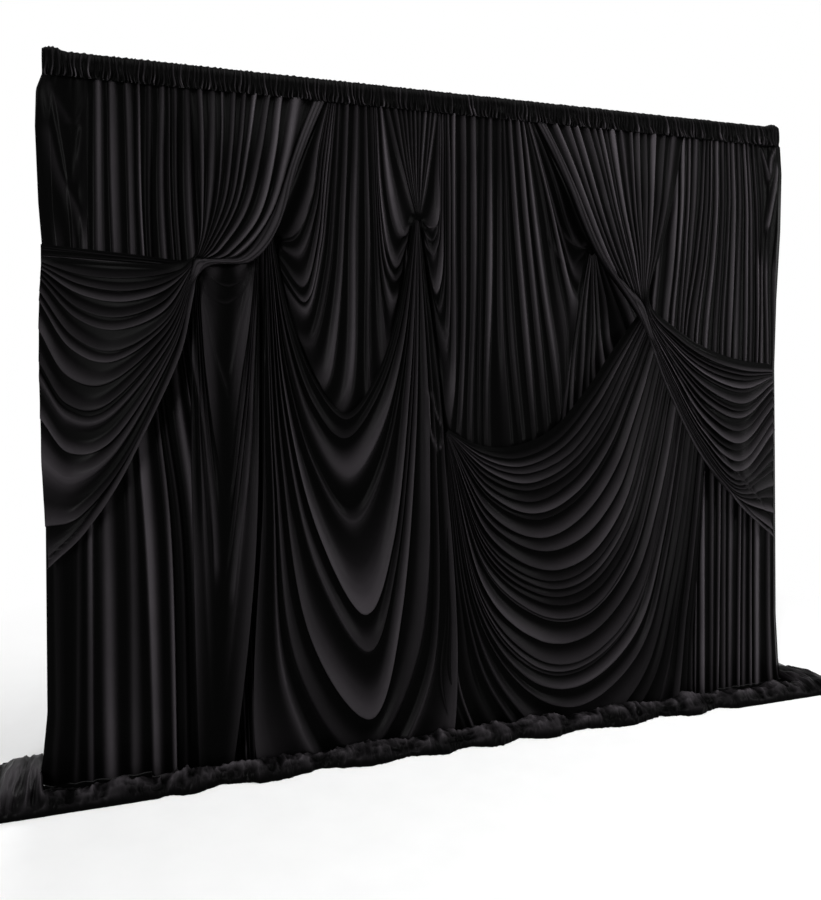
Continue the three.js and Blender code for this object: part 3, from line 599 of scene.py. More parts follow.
@dataclass(frozen=True)
class Folds:
    """One set of folds across a panel, uneven as in hung cloth.

    Fields:
        seed: Which unevenness.
        marks: Points that ridges pass through, each with its height as a share of the most.
        gap: The widest gap between ridges, in metres; wider ones get more ridges.
        height: How high the ridges stand, as a share of the most that there is room for.
        sink: How deep the cloth falls between them, as a share of the same.
        valley: Where the deepest place lies between one ridge and the next.
        sharp: How narrow the ridges are.
        drift: How far a ridge moves sideways, as a share of its spacing.
        fade: How much ridges come and go along their length.
        dip: How much the set fades halfway along.
        spans: Places along the panel where the set starts, is full, is still full and ends.
        painted_highlight: How strongly a painted highlight lies along its ridges in the cloth's colour.
        plain: How wide a smooth stretch between ridges starts to get a painted highlight, and where that is
            lightest.
        plain_highlight: How light the painted highlight is there, from 0 to 1.
        room: How far a fold may stand out, as a share of the width between its ridges.
        dip_length: Over which share of the panel's length the set fades in its middle.
        edges: How high the first and the last ridge stand.
        closest: Marks that are nearer than this to the last ridge are left out, in metres.
    """

    seed: int
    marks: Marks = ()
    gap: float = 55 * MM
    height: float = 1.0
    sink: float = 0.8
    valley: float = 0.25
    sharp: float = 1.6
    drift: float = 0.12
    fade: float = 0.35
    dip: float = 0.0
    spans: Spans = ALL_ALONG
    painted_highlight: float = 1.0
    plain: Pair = (60 * MM, 200 * MM)
    plain_highlight: float = 0.42
    room: float = 0.45
    dip_length: float = 0.14
    edges: Pair = (0.6, 0.8)
    closest: float = 5 * MM

    def ridges(self, panel: Layout) -> tuple[Array, Array]:
        """Where the ridges run and how high they stand.

        Args:
            panel: The panel before it has folds.

        Returns:
            Their places across, in guide lines, and their heights.
        """
        flat, guides = panel.flat, panel.guides
        rng = np.random.default_rng(self.seed)
        along = np.linspace(0, 1, flat.shape[1])
        used = np.flatnonzero((along >= self.spans[0]) & (along <= self.spans[3]))
        middle = np.median(panel.spacing[:, used], axis=1)
        metres = np.concatenate([[0], np.cumsum((middle[1:] + middle[:-1]) / 2 * np.diff(guides))])
        marked = [(0.0, self.edges[0]), (metres[-1], self.edges[1])]
        for x, z, height in self.marks:
            away = np.linalg.norm(flat[:, used] - [x, z], axis=2).min(axis=1)
            marked.append((metres[int(away.argmin())], height))
        marked.sort()
        places, heights = [marked[0][0]], [marked[0][1]]
        for place, height in marked[1:]:
            room = place - places[-1]
            if room < self.closest and place < metres[-1]:
                continue
            extra = max(0, math.ceil(room / self.gap) - 1)
            steps = (np.arange(extra) + 1 + rng.uniform(-0.3, 0.3, extra)) / (extra + 1)
            places.extend(places[-1] + room * steps)
            heights.extend(rng.uniform(0.25, 0.9, extra))
            places.append(place)
            heights.append(height)
        return np.interp(places, metres, guides), np.array(heights)

    def relief(self, panel: Layout, most: Array) -> tuple[Array, Array]:
        """The folds' relief.

        Args:
            panel: The panel before it has folds.
            most: The most that a fold may stand out at each point.

        Returns:
            How far each point stands out, in metres, and its share of the painted highlight.
        """
        guides, spacing = panel.guides, panel.spacing
        places, heights = self.ridges(panel)
        rng = np.random.default_rng(self.seed + 1)
        count = len(places)
        along = np.linspace(0, 1, spacing.shape[1])

        def waves(least: float, most_share: float) -> Array:
            """A slow wave along the folds for each ridge."""
            turns = rng.uniform(0.4, 1.6, (count, 1))
            start = rng.uniform(0, 2 * np.pi, (count, 1))
            wave = 0.5 + 0.5 * np.sin(2 * np.pi * turns * along[None, :] + start)
            return least + (most_share - least) * wave

        drift = np.gradient(places)[:, None] * self.drift * waves(-1, 1)
        drift[0] = drift[-1] = 0
        top = heights[:, None] * waves(1 - self.fade, 1) * self.height
        low = rng.uniform(0.5, 1, (count, 1)) * waves(1 - self.fade / 2, 1) * self.sink
        valley = self.valley + rng.uniform(-0.08, 0.12, count)
        valley = np.where(rng.uniform(0, 1, count) < 0.15, 1 - valley, valley)
        ridge = np.maximum.accumulate(places[:, None] + drift, axis=0)
        steps = np.arange(count)
        result, crests = np.empty(spacing.shape), np.empty(spacing.shape)
        for i in range(len(along)):
            at = ridge[:, i]
            middle = (at[1:] + at[:-1]) / 2
            wide = np.diff(at) * np.interp(middle, guides, spacing[:, i])
            room = self.room * wide
            limit = np.interp(middle, guides, most[:, i])
            cell = limit * room / (limit**3 + room**3) ** (1 / 3)
            crest = np.minimum(np.append(cell, cell[-1]), np.append(cell[0], cell)) * top[:, i]
            sunk = cell * low[:-1, i]
            phase = np.interp(guides, at, steps)
            k = np.minimum(phase.astype(int), count - 2)
            share = phase - k
            peak = np.where(share < valley[k], crest[k], crest[k + 1])
            result[:, i] = crowned(share, valley[k], self.sharp) * (peak + sunk[k]) - sunk[k]
            # Painted highlight: higher ridges and wide smooth stretches get a lighter colour share.
            crest_light = np.where(share < valley[k], top[k, i], top[k + 1, i])
            base = self.plain_highlight * eased(wide, *self.plain)[k]
            crests[:, i] = base + (1 - base) * crowned(share, valley[k], 1.0) * (0.2 + 0.8 * crest_light) * self.painted_highlight
        middle_dip = self.dip * np.exp(-(((along - 0.5) / self.dip_length) ** 2))
        mask = spanned(along, self.spans) * (1 - middle_dip)
        return result * mask[None, :], crests * mask[None, :]


@dataclass(frozen=True)
class Crease:
    """One ridge that doesn't follow the panel's guide lines.

    Fields:
        line: Where it runs.
        height: How far it stands out, in metres.
        above, below: How wide it is on the left and on the right of its way.
        end_length: Over which share of its length it rises at its ends.
        end_height: How high it is at its very ends, as a share of its height.
    """

    line: Line
    height: float
    above: float
    below: float
    end_length: float = 0.12
    end_height: float = 0.25

    def relief(self, flat: Array) -> Array:
        """Its relief on a panel.

        Args:
            flat: Each point's distance from the middle and its height, in metres.

        Returns:
            How far each point stands out, in metres.
        """
        line = smooth_through(np.array(self.line), np.linspace(0, 1, 8 * len(self.line)))
        nearest = np.full(flat.shape[:2], np.inf)
        side = np.zeros(flat.shape[:2])
        place = np.zeros(flat.shape[:2])
        for i, (start, end) in enumerate(zip(line[:-1], line[1:])):
            way = end - start
            share = np.clip(((flat - start) @ way) / max(way @ way, 1e-12), 0, 1)
            off = flat - start - share[..., None] * way
            away = np.linalg.norm(off, axis=2)
            turn = way[0] * off[..., 1] - way[1] * off[..., 0]
            closer = away < nearest
            nearest = np.where(closer, away, nearest)
            side = np.where(closer, turn, side)
            place = np.where(closer, (i + share) / (len(line) - 1), place)
        width = np.where(side > 0, self.above, self.below)
        inner = spanned(place, (0, self.end_length, 1 - self.end_length, 1))
        full = self.end_height + (1 - self.end_height) * inner
        return self.height * full * np.exp(-((nearest / width) ** 2))


@dataclass(frozen=True)
class Roll:
    """The free edge of a drape, bunched into a roll of cloth.

    Fields:
        width: How wide it is, in metres.
        strands: How many strands show on it.
        twist: How many strands pass any place across it on their way along the panel.
        spans: Places along the panel where it starts, is full, is still full and ends.
        fullness: How far it stands out, as a share of the most.
        groove_depth: How deep the grooves between strands are, in metres.
        rim: Where it gives way to the panel, as shares of its width.
        glow: How much painted highlight its grooves get, and how much more its strands get.
    """

    width: float
    strands: float = 3.0
    twist: float = 2.0
    spans: Spans = ALL_ALONG
    fullness: float = 0.96
    groove_depth: float = 1.6 * MM
    rim: Pair = (0.85, 1.15)
    glow: Pair = (0.35, 0.4)

    def shape(self, away: Array, most: Array, relief: Array, crest: Array) -> tuple[Array, Array]:
        """A panel's relief with the roll along its edge.

        Args:
            away: How far each point is from the edge, in metres.
            most: The most that a fold may stand out at each point.
            relief: The relief without the roll.
            crest: Each point's share of the painted highlight without it.

        Returns:
            Both with the roll.
        """
        along = np.linspace(0, 1, away.shape[1])[None, :]
        share = np.clip(away / self.width, 0, 1)
        dome = 2 * np.sqrt(np.clip(1 - (2 * share - 1) ** 2, 0, 1)) - 1
        strands = np.abs(np.sin(np.pi * (self.strands * share + self.twist * along)))
        rolled = most * dome * self.fullness - self.groove_depth * (1 - strands) ** 3
        start, end = (edge * self.width for edge in self.rim)
        inside = spanned(along, self.spans) * (1 - eased(away, start, end))
        # Painted highlight on the roll's strands, lightest on top of its dome.
        strand = (self.glow[0] + self.glow[1] * strands**0.5) * eased(dome, -1, 0.6)
        return relief * (1 - inside) + rolled * inside, crest * (1 - inside) + strand * inside


class Cloth:
    """Sheets of cloth as meshes."""

    @staticmethod
    def grid(name: str, points: Array, crest: Array, keep: Array | None = None) -> bpy.types.Object:
        """A sheet from a grid of points.

        Args:
            name: The piece's name.
            points: Columns of points along the folds, in metres.
            crest: Each one's share of the painted highlight, lightest on the crest of a fold, from 0 to 1.
            keep: Which points stay, if some don't.

        Returns:
            The sheet.
        """
        columns, rows = points.shape[:2]
        index = np.arange(columns * rows).reshape(columns, rows)
        corners = np.stack([index[:-1, :-1], index[1:, :-1], index[1:, 1:], index[:-1, 1:]], axis=-1)
        faces = corners.reshape(-1, 4)
        flat = points.reshape(-1, 3)
        layers = {
            "cut": Cloth.flat_places(points).reshape(-1, 2),
            "crest": np.repeat(np.clip(crest, 0, 1).reshape(-1, 1), 2, axis=1),
        }
        if keep is not None:
            faces = faces[keep.reshape(-1)[faces].all(axis=1)]
            used = np.unique(faces)
            renumbered = np.zeros(len(flat), int)
            renumbered[used] = np.arange(len(used))
            faces, flat = renumbered[faces], flat[used]
            layers = {key: values[used] for key, values in layers.items()}
        mesh = bpy.data.meshes.new(name)
        mesh.from_pydata(flat.tolist(), [], faces.tolist())
        loops = np.empty(len(mesh.loops), int)
        mesh.loops.foreach_get("vertex_index", loops)
        for key, values in layers.items():
            layer = mesh.uv_layers.new(name=key)
            layer.data.foreach_set("uv", values[loops].astype(np.float32).ravel())
        mesh.polygons.foreach_set("use_smooth", np.ones(len(mesh.polygons), bool))
        mesh.update()
        piece = bpy.data.objects.new(name, mesh)
        bpy.context.collection.objects.link(piece)
        return piece

    @staticmethod
    def flat_places(points: Array) -> Array:
        """Where each point lay on the flat cloth.

        Args:
            points: Columns of points along the folds, in metres.

        Returns:
            Distances across and along the cloth.
        """
        steps_across = np.linalg.norm(np.diff(points, axis=0), axis=2).max(axis=1)
        steps_along = np.linalg.norm(np.diff(points, axis=1), axis=2)
        across = np.concatenate([[0], np.cumsum(steps_across)])
        along = np.concatenate([np.zeros((len(points), 1)), np.cumsum(steps_along, axis=1)], axis=1)
        return np.stack([np.broadcast_to(across[:, None], along.shape), along], axis=-1)


@dataclass
class Sheet:
    """A sheet of cloth that stands for one of the solids.

    Fields:
        name: The solid's name.
        flat: The cloth's width and length before it was hung; not used.
        held: How it is held; not used.
        rests_on: What it hangs from or lies on; not used.
    """

    name: str
    flat: Pair
    held: Held
    rests_on: tuple[str, ...]

    def surface(self) -> Surface:
        """The sheet's points, each one's share of the painted highlight, and which stay, if some don't."""
        raise NotImplementedError

    def build(self, satin: bpy.types.Material) -> bpy.types.Object:
        """Makes the sheet and dresses it.

        Args:
            satin: Its material.

        Returns:
            The sheet.
        """
        piece = Cloth.grid(f"{self.name}_cloth", *self.surface())
        piece.data.materials.append(satin)
        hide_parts(self.name)
        return piece


@dataclass(frozen=True)
class Corner:
    """How a panel lies at the drape's outer corners, where it turns round the uprights.

    Fields:
        reach: How far from its edge it starts to turn back.
        depth: How far in front of the frame its edge ends.
        bulged: Distances from the middle between which its folds get to stand out at the header.
        calm_across, calm_up: Distances from the middle, and heights, between which its folds calm down.
        calm: How much they calm down, as a share.
    """

    reach: float = 42 * MM
    depth: float = 18 * MM
    bulged: Pair = (1.03, 1.1)
    calm_across: Pair = (1.32, 1.37)
    calm_up: Pair = (1.8, 1.95)
    calm: float = 0.65


@dataclass
class FoldedPanel(Sheet):
    """A panel of cloth that hangs about an upright plane, with folds along its guide lines.

    Fields:
        shares: Guide lines, each from top to bottom, as shares of the half width and of the drape's height.
        plane: How far the panel's middle hangs in front of the frame.
        fold: How high its folds may stand from that plane.
        folds: Its sets of folds, coarse ones first.
        header_depth: How far in front of the frame it leaves the header.
        columns, rows: Steps across and along the folds.
        lean: How far folds that run level lean downwards, as a share of their height.
        retreats: How far it steps back, by distance from the middle.
        corner: How it turns round the uprights, if it does.
        tuck: How far the free edges turn back, and over how many metres.
        foot_tuck: Over how many metres its lower ends flatten.
        hem: How high its lowest edge lies over the floor or a plate.
        rolls: What its last edge is bunched into.
        creases: Ridges that don't follow its guide lines.
        crease_crest: How high a crease has to be to get as much painted highlight as a crest, in metres.
        bulges: How far its outer edge stands out sideways, by height.
        bulge_start, bulge_end: Distances from the drape's edge between which it does.
    """

    shares: tuple[Line, ...]
    plane: float
    fold: float
    folds: tuple[Folds, ...]
    header_depth: float = 33.5 * MM
    columns: int = 320
    rows: int = 150
    lean: float = 0.0
    retreats: Callable[[Array], Array] = lambda x: np.zeros_like(x)
    corner: Corner | None = None
    tuck: Pair = (0.8, 12 * MM)
    foot_tuck: float = 0.0
    hem: float = 3 * MM
    rolls: tuple[Roll, ...] = ()
    creases: tuple[Crease, ...] = ()
    crease_crest: float = 11 * MM
    bulges: Line = ()
    bulge_start: float = 0.12
    bulge_end: float = 0.01

    def flat_lines(self, across: Array, along: Array) -> Array:
        """The panel before it has folds.

        Args:
            across: Places across, from 0 to 1.
            along: Places along, from 0 to 1.

        Returns:
            Distances from the middle and heights, in metres.
        """
        lines = np.array(self.shares) * [PLACE.half_drape, PLACE.line_top]
        fanned = smooth_through(lines, across)
        return smooth_through(np.swapaxes(fanned, 0, 1), along).swapaxes(0, 1)

    def room(self, panel: Layout) -> tuple[Array, Array]:
        """How far folds may go back, and how far they may stand out.

        Args:
            panel: The panel before it has folds.

        Returns:
            Both distances at each point, in metres.
        """
        bulge = PLACE.header_bulge
        if self.corner:
            extra = PLACE.header_bulge - PLACE.header_fold
            bulge = PLACE.header_fold + extra * eased(panel.off(), *self.corner.bulged)
        deeper = panel.lead() ** PLACE.lead_power
        most, proud = (low + (self.fold - low) * deeper for low in (PLACE.header_fold, bulge))
        return most, np.maximum(most, proud)

    def folded(self, panel: Layout) -> tuple[Array, Array]:
        """The relief of the panel's folds, creases, edges and rolls.

        Args:
            panel: The panel before it has folds.

        Returns:
            How far each point stands out, in metres, and its share of the painted highlight.
        """
        most, proud = self.room(panel)
        sets = [folds.relief(panel, proud) for folds in self.folds]
        relief = sum(relief for relief, _ in sets)
        crest = np.maximum.reduce([crest for _, crest in sets])
        if self.corner:
            out = eased(panel.off(), *self.corner.calm_across)
            calm = 1 - self.corner.calm * (out * eased(panel.flat[..., 1], *self.corner.calm_up))
            relief, crest = relief * calm, crest * calm
        for crease in self.creases:
            raised = crease.relief(panel.flat)
            # A crease adds painted highlight by its height.
            relief, crest = relief + raised, np.maximum(crest, raised / self.crease_crest)
        relief = np.where(relief > 0, proud * np.tanh(relief / proud), most * np.tanh(relief / most))
        for back in self.turned_back(panel):
            relief, crest = relief * (1 - back) - back * most, crest * (1 - back)
        for roll in self.rolls:
            relief, crest = roll.shape(panel.before_last(), most, relief, crest)
        return relief, crest

    def turned_back(self, panel: Layout) -> list[Array]:
        """How far the free sides, and the lower ends if they are tucked, turn back.

        Args:
            panel: The panel before it has folds.

        Returns:
            Shares from 0 to 1 at each point, for each kind of edge.
        """
        share, reach = self.tuck
        guides = panel.guides
        edge = np.minimum(guides, guides[-1] - guides)[:, None] * panel.spacing
        back = [(1 - eased(edge, 0, reach)) * share]
        if self.foot_tuck:
            steps = np.linalg.norm(np.diff(panel.flat, axis=1), axis=2)
            left = np.cumsum(steps[:, ::-1], axis=1)[:, ::-1]
            left = np.concatenate([left, np.zeros((self.columns, 1))], axis=1)
            back.append(1 - eased(left, 0, self.foot_tuck))
        return back

    def surface(self) -> Surface:
        """The panel's points, each one's share of the painted highlight, and which are above the hem."""
        across = np.linspace(0, 1, self.columns)
        guides = across * (len(self.shares) - 1)
        flat = self.flat_lines(across, np.linspace(0, 1, self.rows))
        fan = np.gradient(flat, guides, axis=0)
        panel = Layout(flat, guides, np.linalg.norm(fan, axis=2))
        relief, crest = self.folded(panel)
        down = fan / np.maximum(panel.spacing, MM)[..., None]
        down = down * -np.sign(down[..., 1:2])
        sag = self.lean * relief * np.abs(down[..., 1]) ** 2
        points = self.hung(panel, flat + sag[..., None] * down, relief)
        return points, crest, self.above_hem(points)

    def hung(self, panel: Layout, sagged: Array, relief: Array) -> Array:
        """Hangs the panel in its place in front of the frame.

        Args:
            panel: The panel before it has folds.
            sagged: Its folded points' distances from the middle and heights.
            relief: How far each point stands out.

        Returns:
            The panel's points.
        """
        x, z = sagged[..., 0], sagged[..., 1]
        if self.bulges:
            heights, outward = np.array(sorted(self.bulges)).T
            start, end = PLACE.half_drape - self.bulge_start, PLACE.half_drape - self.bulge_end
            x = x + np.sign(x) * eased(np.abs(x), start, end) * np.interp(z, heights, outward)
        lead = panel.lead()
        out = 0.5 * lead * (2 - lead) + 0.5 * lead * lead * (3 - 2 * lead)
        depth = self.header_depth + (self.plane - self.header_depth) * out - self.retreats(x)
        if self.corner:
            reach = self.corner.reach
            turn = np.clip((panel.off() - PLACE.half_drape + reach) / reach, 0, 1)
            depth = depth * (1 - turn) + self.corner.depth * turn + relief * (1 - turn)
        else:
            nearer = (PLACE.eye_distance - depth) / (PLACE.eye_distance - PLACE.read_depth)
            x = PLACE.eye_x + (x - PLACE.eye_x) * nearer
            z = z + lead * (z - PLACE.eye_height) * (nearer - 1)
            depth = depth + relief
        return np.stack([x, -depth, np.minimum(z, PLACE.line_top)], axis=-1)

    def above_hem(self, points: Array) -> Array:
        """Lifts what lies below the hem to it.

        Args:
            points: The panel's points, which are changed.

        Returns:
            Which points stay: those above the hem, and their neighbours.
        """
        top = plate_top(points[..., 0], points[..., 1], MM)
        low = np.where(top > 0, top + self.hem, self.hem)
        above = points[..., 2] > low
        near = above.copy()
        near[:, 1:] |= above[:, :-1]
        near[:, :-1] |= above[:, 1:]
        near[1:] |= above[:-1]
        near[:-1] |= above[1:]
        points[..., 2] = np.maximum(points[..., 2], low)
        return near


def header_gathers(seed: int, end: float) -> Folds:
    """Small pleats that die out below the header."""
    return Folds(seed, (), 26 * MM, 0.4, 0.4, fade=0.8, spans=(-1, -0.5, 0.004, end), painted_highlight=0.3)


def hanging(heights: tuple[float, ...], *lines: tuple[float, ...]) -> tuple[Line, ...]:
    """Guide lines that all pass the same heights, each with its distances from the middle there."""
    return tuple(tuple(zip(line, heights)) for line in lines)


def paired(numbers: tuple[float, ...]) -> Line:
    """Points from their two numbers in turn, which are in thousandths."""
    return tuple((x / 1000, z / 1000) for x, z in zip(numbers[::2], numbers[1::2]))


def guide_lines(*lines: tuple[float, ...]) -> tuple[Line, ...]:
    """Guide lines, each from the two shares of its points in turn, in thousandths."""
    return tuple(paired(line) for line in lines)


def crease(height: float, above: float, below: float, *points: float) -> Crease:
    """A crease in millimetres: its height, its two widths, and the two places of its points in turn."""
    return Crease(paired(points), height * MM, above * MM, below * MM)


def level(z: float, *ridges: Pair) -> Marks:
    """Marks at one height, each with its distance from the middle and its ridge's height."""
    return tuple((x, z, height) for x, height in ridges)


def upright(x: float, *ridges: Pair) -> Marks:
    """Marks one below the other, each with its height above the floor and its ridge's height."""
    return tuple((x, z, height) for z, height in ridges)


# Guide lines run along the folds, and marks are points that single ridges pass through.
LEFT_BACK_LINES = hanging(
    (1, 0.8, 0.55, 0.34, 0),
    (-1, -1, -1, -1, -1),
    (-0.985, -0.955, -0.96, -0.96, -0.965),
    (-0.95, -0.93, -0.925, -0.925, -0.93),
    (-0.91, -0.91, -0.9, -0.895, -0.895),
    (-0.827, -0.823, -0.807, -0.787, -0.78),
    (-0.793, -0.791, -0.764, -0.733, -0.72),
    (-0.747, -0.75, -0.723, -0.68, -0.66),
    (-0.713, -0.707, -0.667, -0.6, -0.573),
    (-0.55, -0.55, -0.54, -0.52, -0.51),
    (-0.3, -0.3, -0.3, -0.3, -0.3),
    (-0.002, -0.002, -0.002, -0.002, -0.002),
)

RIGHT_BACK_LINES = hanging(
    (1, 0.8, 0.62, 0.34, 0),
    (0.002, 0.002, 0.002, 0.002, 0.002),
    (0.3, 0.3, 0.3, 0.3, 0.3),
    (0.55, 0.54, 0.53, 0.54, 0.54),
    (0.647, 0.627, 0.6, 0.61, 0.61),
    (0.69, 0.663, 0.64, 0.64, 0.64),
    (0.737, 0.707, 0.667, 0.673, 0.68),
    (0.773, 0.757, 0.733, 0.727, 0.727),
    (0.867, 0.863, 0.86, 0.85, 0.85),
    (0.905, 0.912, 0.912, 0.9, 0.9),
    (0.94, 0.925, 0.93, 0.93, 0.935),
    (0.98, 0.955, 0.96, 0.965, 0.97),
    (1, 1, 1, 1, 1),
)

LEFT_BACK_MARKS: Marks = level(
    2.1, (-1.33, 0.8), (-1.278, 0.7), (-1.234, 0.9), (-1.194, 1.0), (-1.12, 0.9), (-1.075, 0.6), (-1.034, 0.7),
    (-1.0, 0.6),
)

RIGHT_BACK_MARKS: Marks = level(
    2.0, (0.932, 0.8), (0.964, 1.0), (0.996, 0.8), (1.024, 0.7), (1.06, 0.7), (1.088, 0.5), (1.104, 0.8),
    (1.136, 1.0), (1.176, 0.5), (1.204, 0.8), (1.232, 0.7), (1.256, 0.6), (1.3, 1.0), (1.318, 0.5),
    (1.376, 1.0),
)


CORNER_CREASES = (
    crease(4, 9, 22, -1475, 2360, -1440, 2280, -1400, 2200),
    crease(3, 18, 9, -1355, 2330, -1375, 2260, -1400, 2200),
    crease(3, 18, 9, -1370, 2220, -1390, 2100, -1405, 2000),
    crease(5, 10, 26, -1470, 2240, -1440, 2050, -1390, 1920, -1360, 1820),
    crease(9, 14, 6, 1470, 2360, 1450, 2340, 1430, 2300, 1420, 2220),
    crease(10, 8, 16, 1470, 2300, 1440, 2150, 1400, 1980),
    crease(8, 6, 12, 1390, 2350, 1410, 2280, 1420, 2200),
)

LEFT_BULGES: Line = (
    (0, 0.03), (0.1, 0.015), (0.25, 0), (0.9, 0.0), (1.0, -0.012), (1.5, 0.012), (1.78, 0.002), (1.95, 0.014),
    (2.2, 0.022), (2.32, 0.018), (2.37, 0.0),
)

RIGHT_BULGES: Line = (
    (0, 0.03), (0.1, 0.015), (0.3, 0), (1.0, -0.012), (1.4, -0.02), (1.7, -0.012), (2.0, 0.006), (2.25, 0.01),
    (2.37, 0.0),
)


@dataclass(frozen=True)
class BackSide:
    """What differs between the two back panels.

    Fields:
        name: The panel's name.
        lines: Its guide lines, from left to right.
        marks: Where its pleats run.
        seed: Which unevenness its pleats have.
        valley: Where the deepest place lies between them.
        painted_highlight: How strongly a painted highlight lies along their crests in the cloth's colour.
        bulges: How far its outer edge stands out sideways, by height.
    """

    name: str
    lines: tuple[Line, ...]
    marks: Marks
    seed: int
    valley: float
    painted_highlight: float
    bulges: Line


@dataclass
class BackCurtain:
    """The two panels that hang straight behind all the others and turn round the uprights."""

    plane: float = 49 * MM
    fold: float = 11 * MM
    header_depth: float = 26.2 * MM
    flat: Pair = (1.9, 2.42)
    sides: tuple[BackSide, ...] = (
        BackSide("back_curtain_left", LEFT_BACK_LINES, LEFT_BACK_MARKS, 11, 0.3, 1.0, LEFT_BULGES),
        BackSide("back_curtain_right", RIGHT_BACK_LINES, RIGHT_BACK_MARKS, 23, 0.7, 1.3, RIGHT_BULGES),
    )

    def panel(self, side: BackSide) -> FoldedPanel:
        """One of the two panels.

        Args:
            side: Which.

        Returns:
            The panel.
        """
        folds = (
            Folds(side.seed, side.marks, 60 * MM, valley=side.valley, sharp=1.9, painted_highlight=side.painted_highlight),
            header_gathers(side.seed + 4, 0.06),
        )
        return FoldedPanel(
            side.name, self.flat, Held.HUNG, ("crossbar_outer_tube",), side.lines, self.plane, self.fold, folds,
            header_depth=self.header_depth, columns=820, rows=130, corner=Corner(), creases=CORNER_CREASES,
            bulges=side.bulges,
        )

    def build(self, satin: bpy.types.Material) -> list[bpy.types.Object]:
        """Makes the left and the right panel."""
        return [self.panel(side).build(satin) for side in self.sides]


UPPER_LINES = guide_lines(
    (-368, 1000, -420, 925, -460, 865, -495, 818, -515, 792),
    (-363, 1000, -385, 928, -403, 857, -443, 797, -490, 781),
    (-350, 1000, -370, 886, -387, 781, -423, 700, -490, 751),
    (-333, 1000, -343, 865, -360, 738, -400, 633, -447, 633),
    (-300, 1000, -303, 844, -310, 696, -327, 570, -353, 515),
    (-273, 1000, -273, 844, -273, 696, -273, 570, -280, 506),
    (-257, 1000, -252, 844, -245, 717, -230, 612, -213, 570),
    (-243, 1000, -233, 865, -217, 781, -190, 759, -160, 793),
    (-230, 1000, -213, 907, -193, 835, -175, 804, -150, 816),
    (-213, 1000, -190, 928, -167, 873, -148, 840, -141, 825),
    (-140, 1000, -139, 928, -137, 878, -135, 844, -135, 826),
    (-87, 1000, -100, 928, -113, 873, -124, 840, -130, 825),
    (-79, 1000, -81, 907, -84, 844, -100, 814, -124, 821),
    (-69, 1000, -72, 865, -75, 759, -93, 717, -119, 785),
    (-57, 1000, -52, 823, -52, 696, -67, 646, -100, 700),
    (-40, 1000, -40, 802, -40, 654, -47, 570, -63, 506),
    (-17, 1000, -15, 823, -12, 675, -17, 549, -27, 473),
    (20, 1000, 20, 823, 19, 675, 15, 549, 13, 456),
    (67, 1000, 65, 844, 62, 696, 60, 570, 60, 447),
    (100, 1000, 112, 844, 127, 696, 143, 570, 160, 451),
    (127, 1000, 147, 844, 170, 709, 193, 582, 213, 464),
    (150, 1000, 180, 857, 210, 730, 240, 603, 260, 485),
    (163, 1000, 213, 878, 252, 772, 280, 675, 287, 570),
    (175, 1000, 237, 886, 277, 810, 307, 768, 352, 784),
    (181, 1000, 257, 899, 295, 844, 325, 805, 360, 782),
    (186, 1000, 280, 905, 335, 850, 370, 815, 378, 790),
)

FAN_LINES = guide_lines(
    (351, 795, 300, 717, 267, 612, 250, 473),
    (353, 795, 315, 717, 283, 612, 267, 473),
    (356, 795, 334, 696, 320, 591, 313, 506),
    (360, 795, 357, 675, 353, 612, 353, 536),
    (364, 795, 381, 696, 393, 633, 403, 574),
    (368, 795, 410, 717, 433, 667, 453, 616),
    (372, 796, 425, 735, 460, 690, 490, 650),
    (376, 797, 430, 755, 475, 720, 510, 690),
)

COLUMN_LINES = guide_lines(
    (-660, 745, -636, 745, -603, 745, -575, 750, -553, 765),
    (-662, 735, -638, 710, -604, 700, -572, 712, -550, 762),
    (-664, 726, -643, 654, -612, 582, -577, 654, -544, 760),
    (-669, 722, -650, 591, -607, 443, -567, 591, -539, 763),
    (-675, 717, -657, 506, -620, 262, -570, 464, -534, 766),
    (-680, 713, -667, 422, -633, 42, -563, 338, -530, 769),
    (-687, 709, -687, 380, -653, -169, -547, 253, -526, 772),
)

LEFT_SWAG_LINES = guide_lines(
    (-499, 785, -460, 675, -400, 574, -320, 517, -243, 574, -187, 675, -140.5, 826),
    (-502, 783, -467, 633, -407, 506, -323, 439, -240, 506, -179, 633, -139, 825.5),
    (-506, 781, -470, 549, -400, 359, -280, 224, -203, 338, -160, 570, -137.5, 825),
    (-510, 779, -480, 464, -413, 203, -260, 59, -183, 211, -143, 485, -136, 824.5),
    (-515, 777, -497, 422, -460, 127, -287, -42, -115, 127, -95, 450, -132.5, 824),
    (-520, 775, -527, 401, -533, -30, -300, -253, -48, -30, -58, 440, -129, 823.5),
)

RIGHT_SWAG_LINES = guide_lines(
    (-56, 489, 33, 463, 133, 458, 247, 485, 347, 549, 433, 620, 520, 690),
    (-57, 488.5, 53, 430, 167, 409, 287, 439, 383, 506, 460, 591, 540, 682),
    (-58, 488, 53, 376, 187, 333, 313, 363, 417, 439, 490, 540, 562, 662),
    (-59, 487.5, 47, 321, 200, 249, 340, 262, 453, 346, 523, 473, 590, 630),
    (-60, 487, 40, 266, 200, 169, 353, 165, 483, 253, 557, 392, 622, 582),
    (-61, 486.5, 20, 211, 160, 72, 333, 42, 507, 127, 593, 295, 660, 528),
    (-62, 486, -13, 211, 67, 42, 280, -105, 533, 0, 633, 211, 695, 482),
    (-63, 485.5, -63, 211, -56, 21, 233, -338, 633, -169, 690, 127, 735, 450),
)

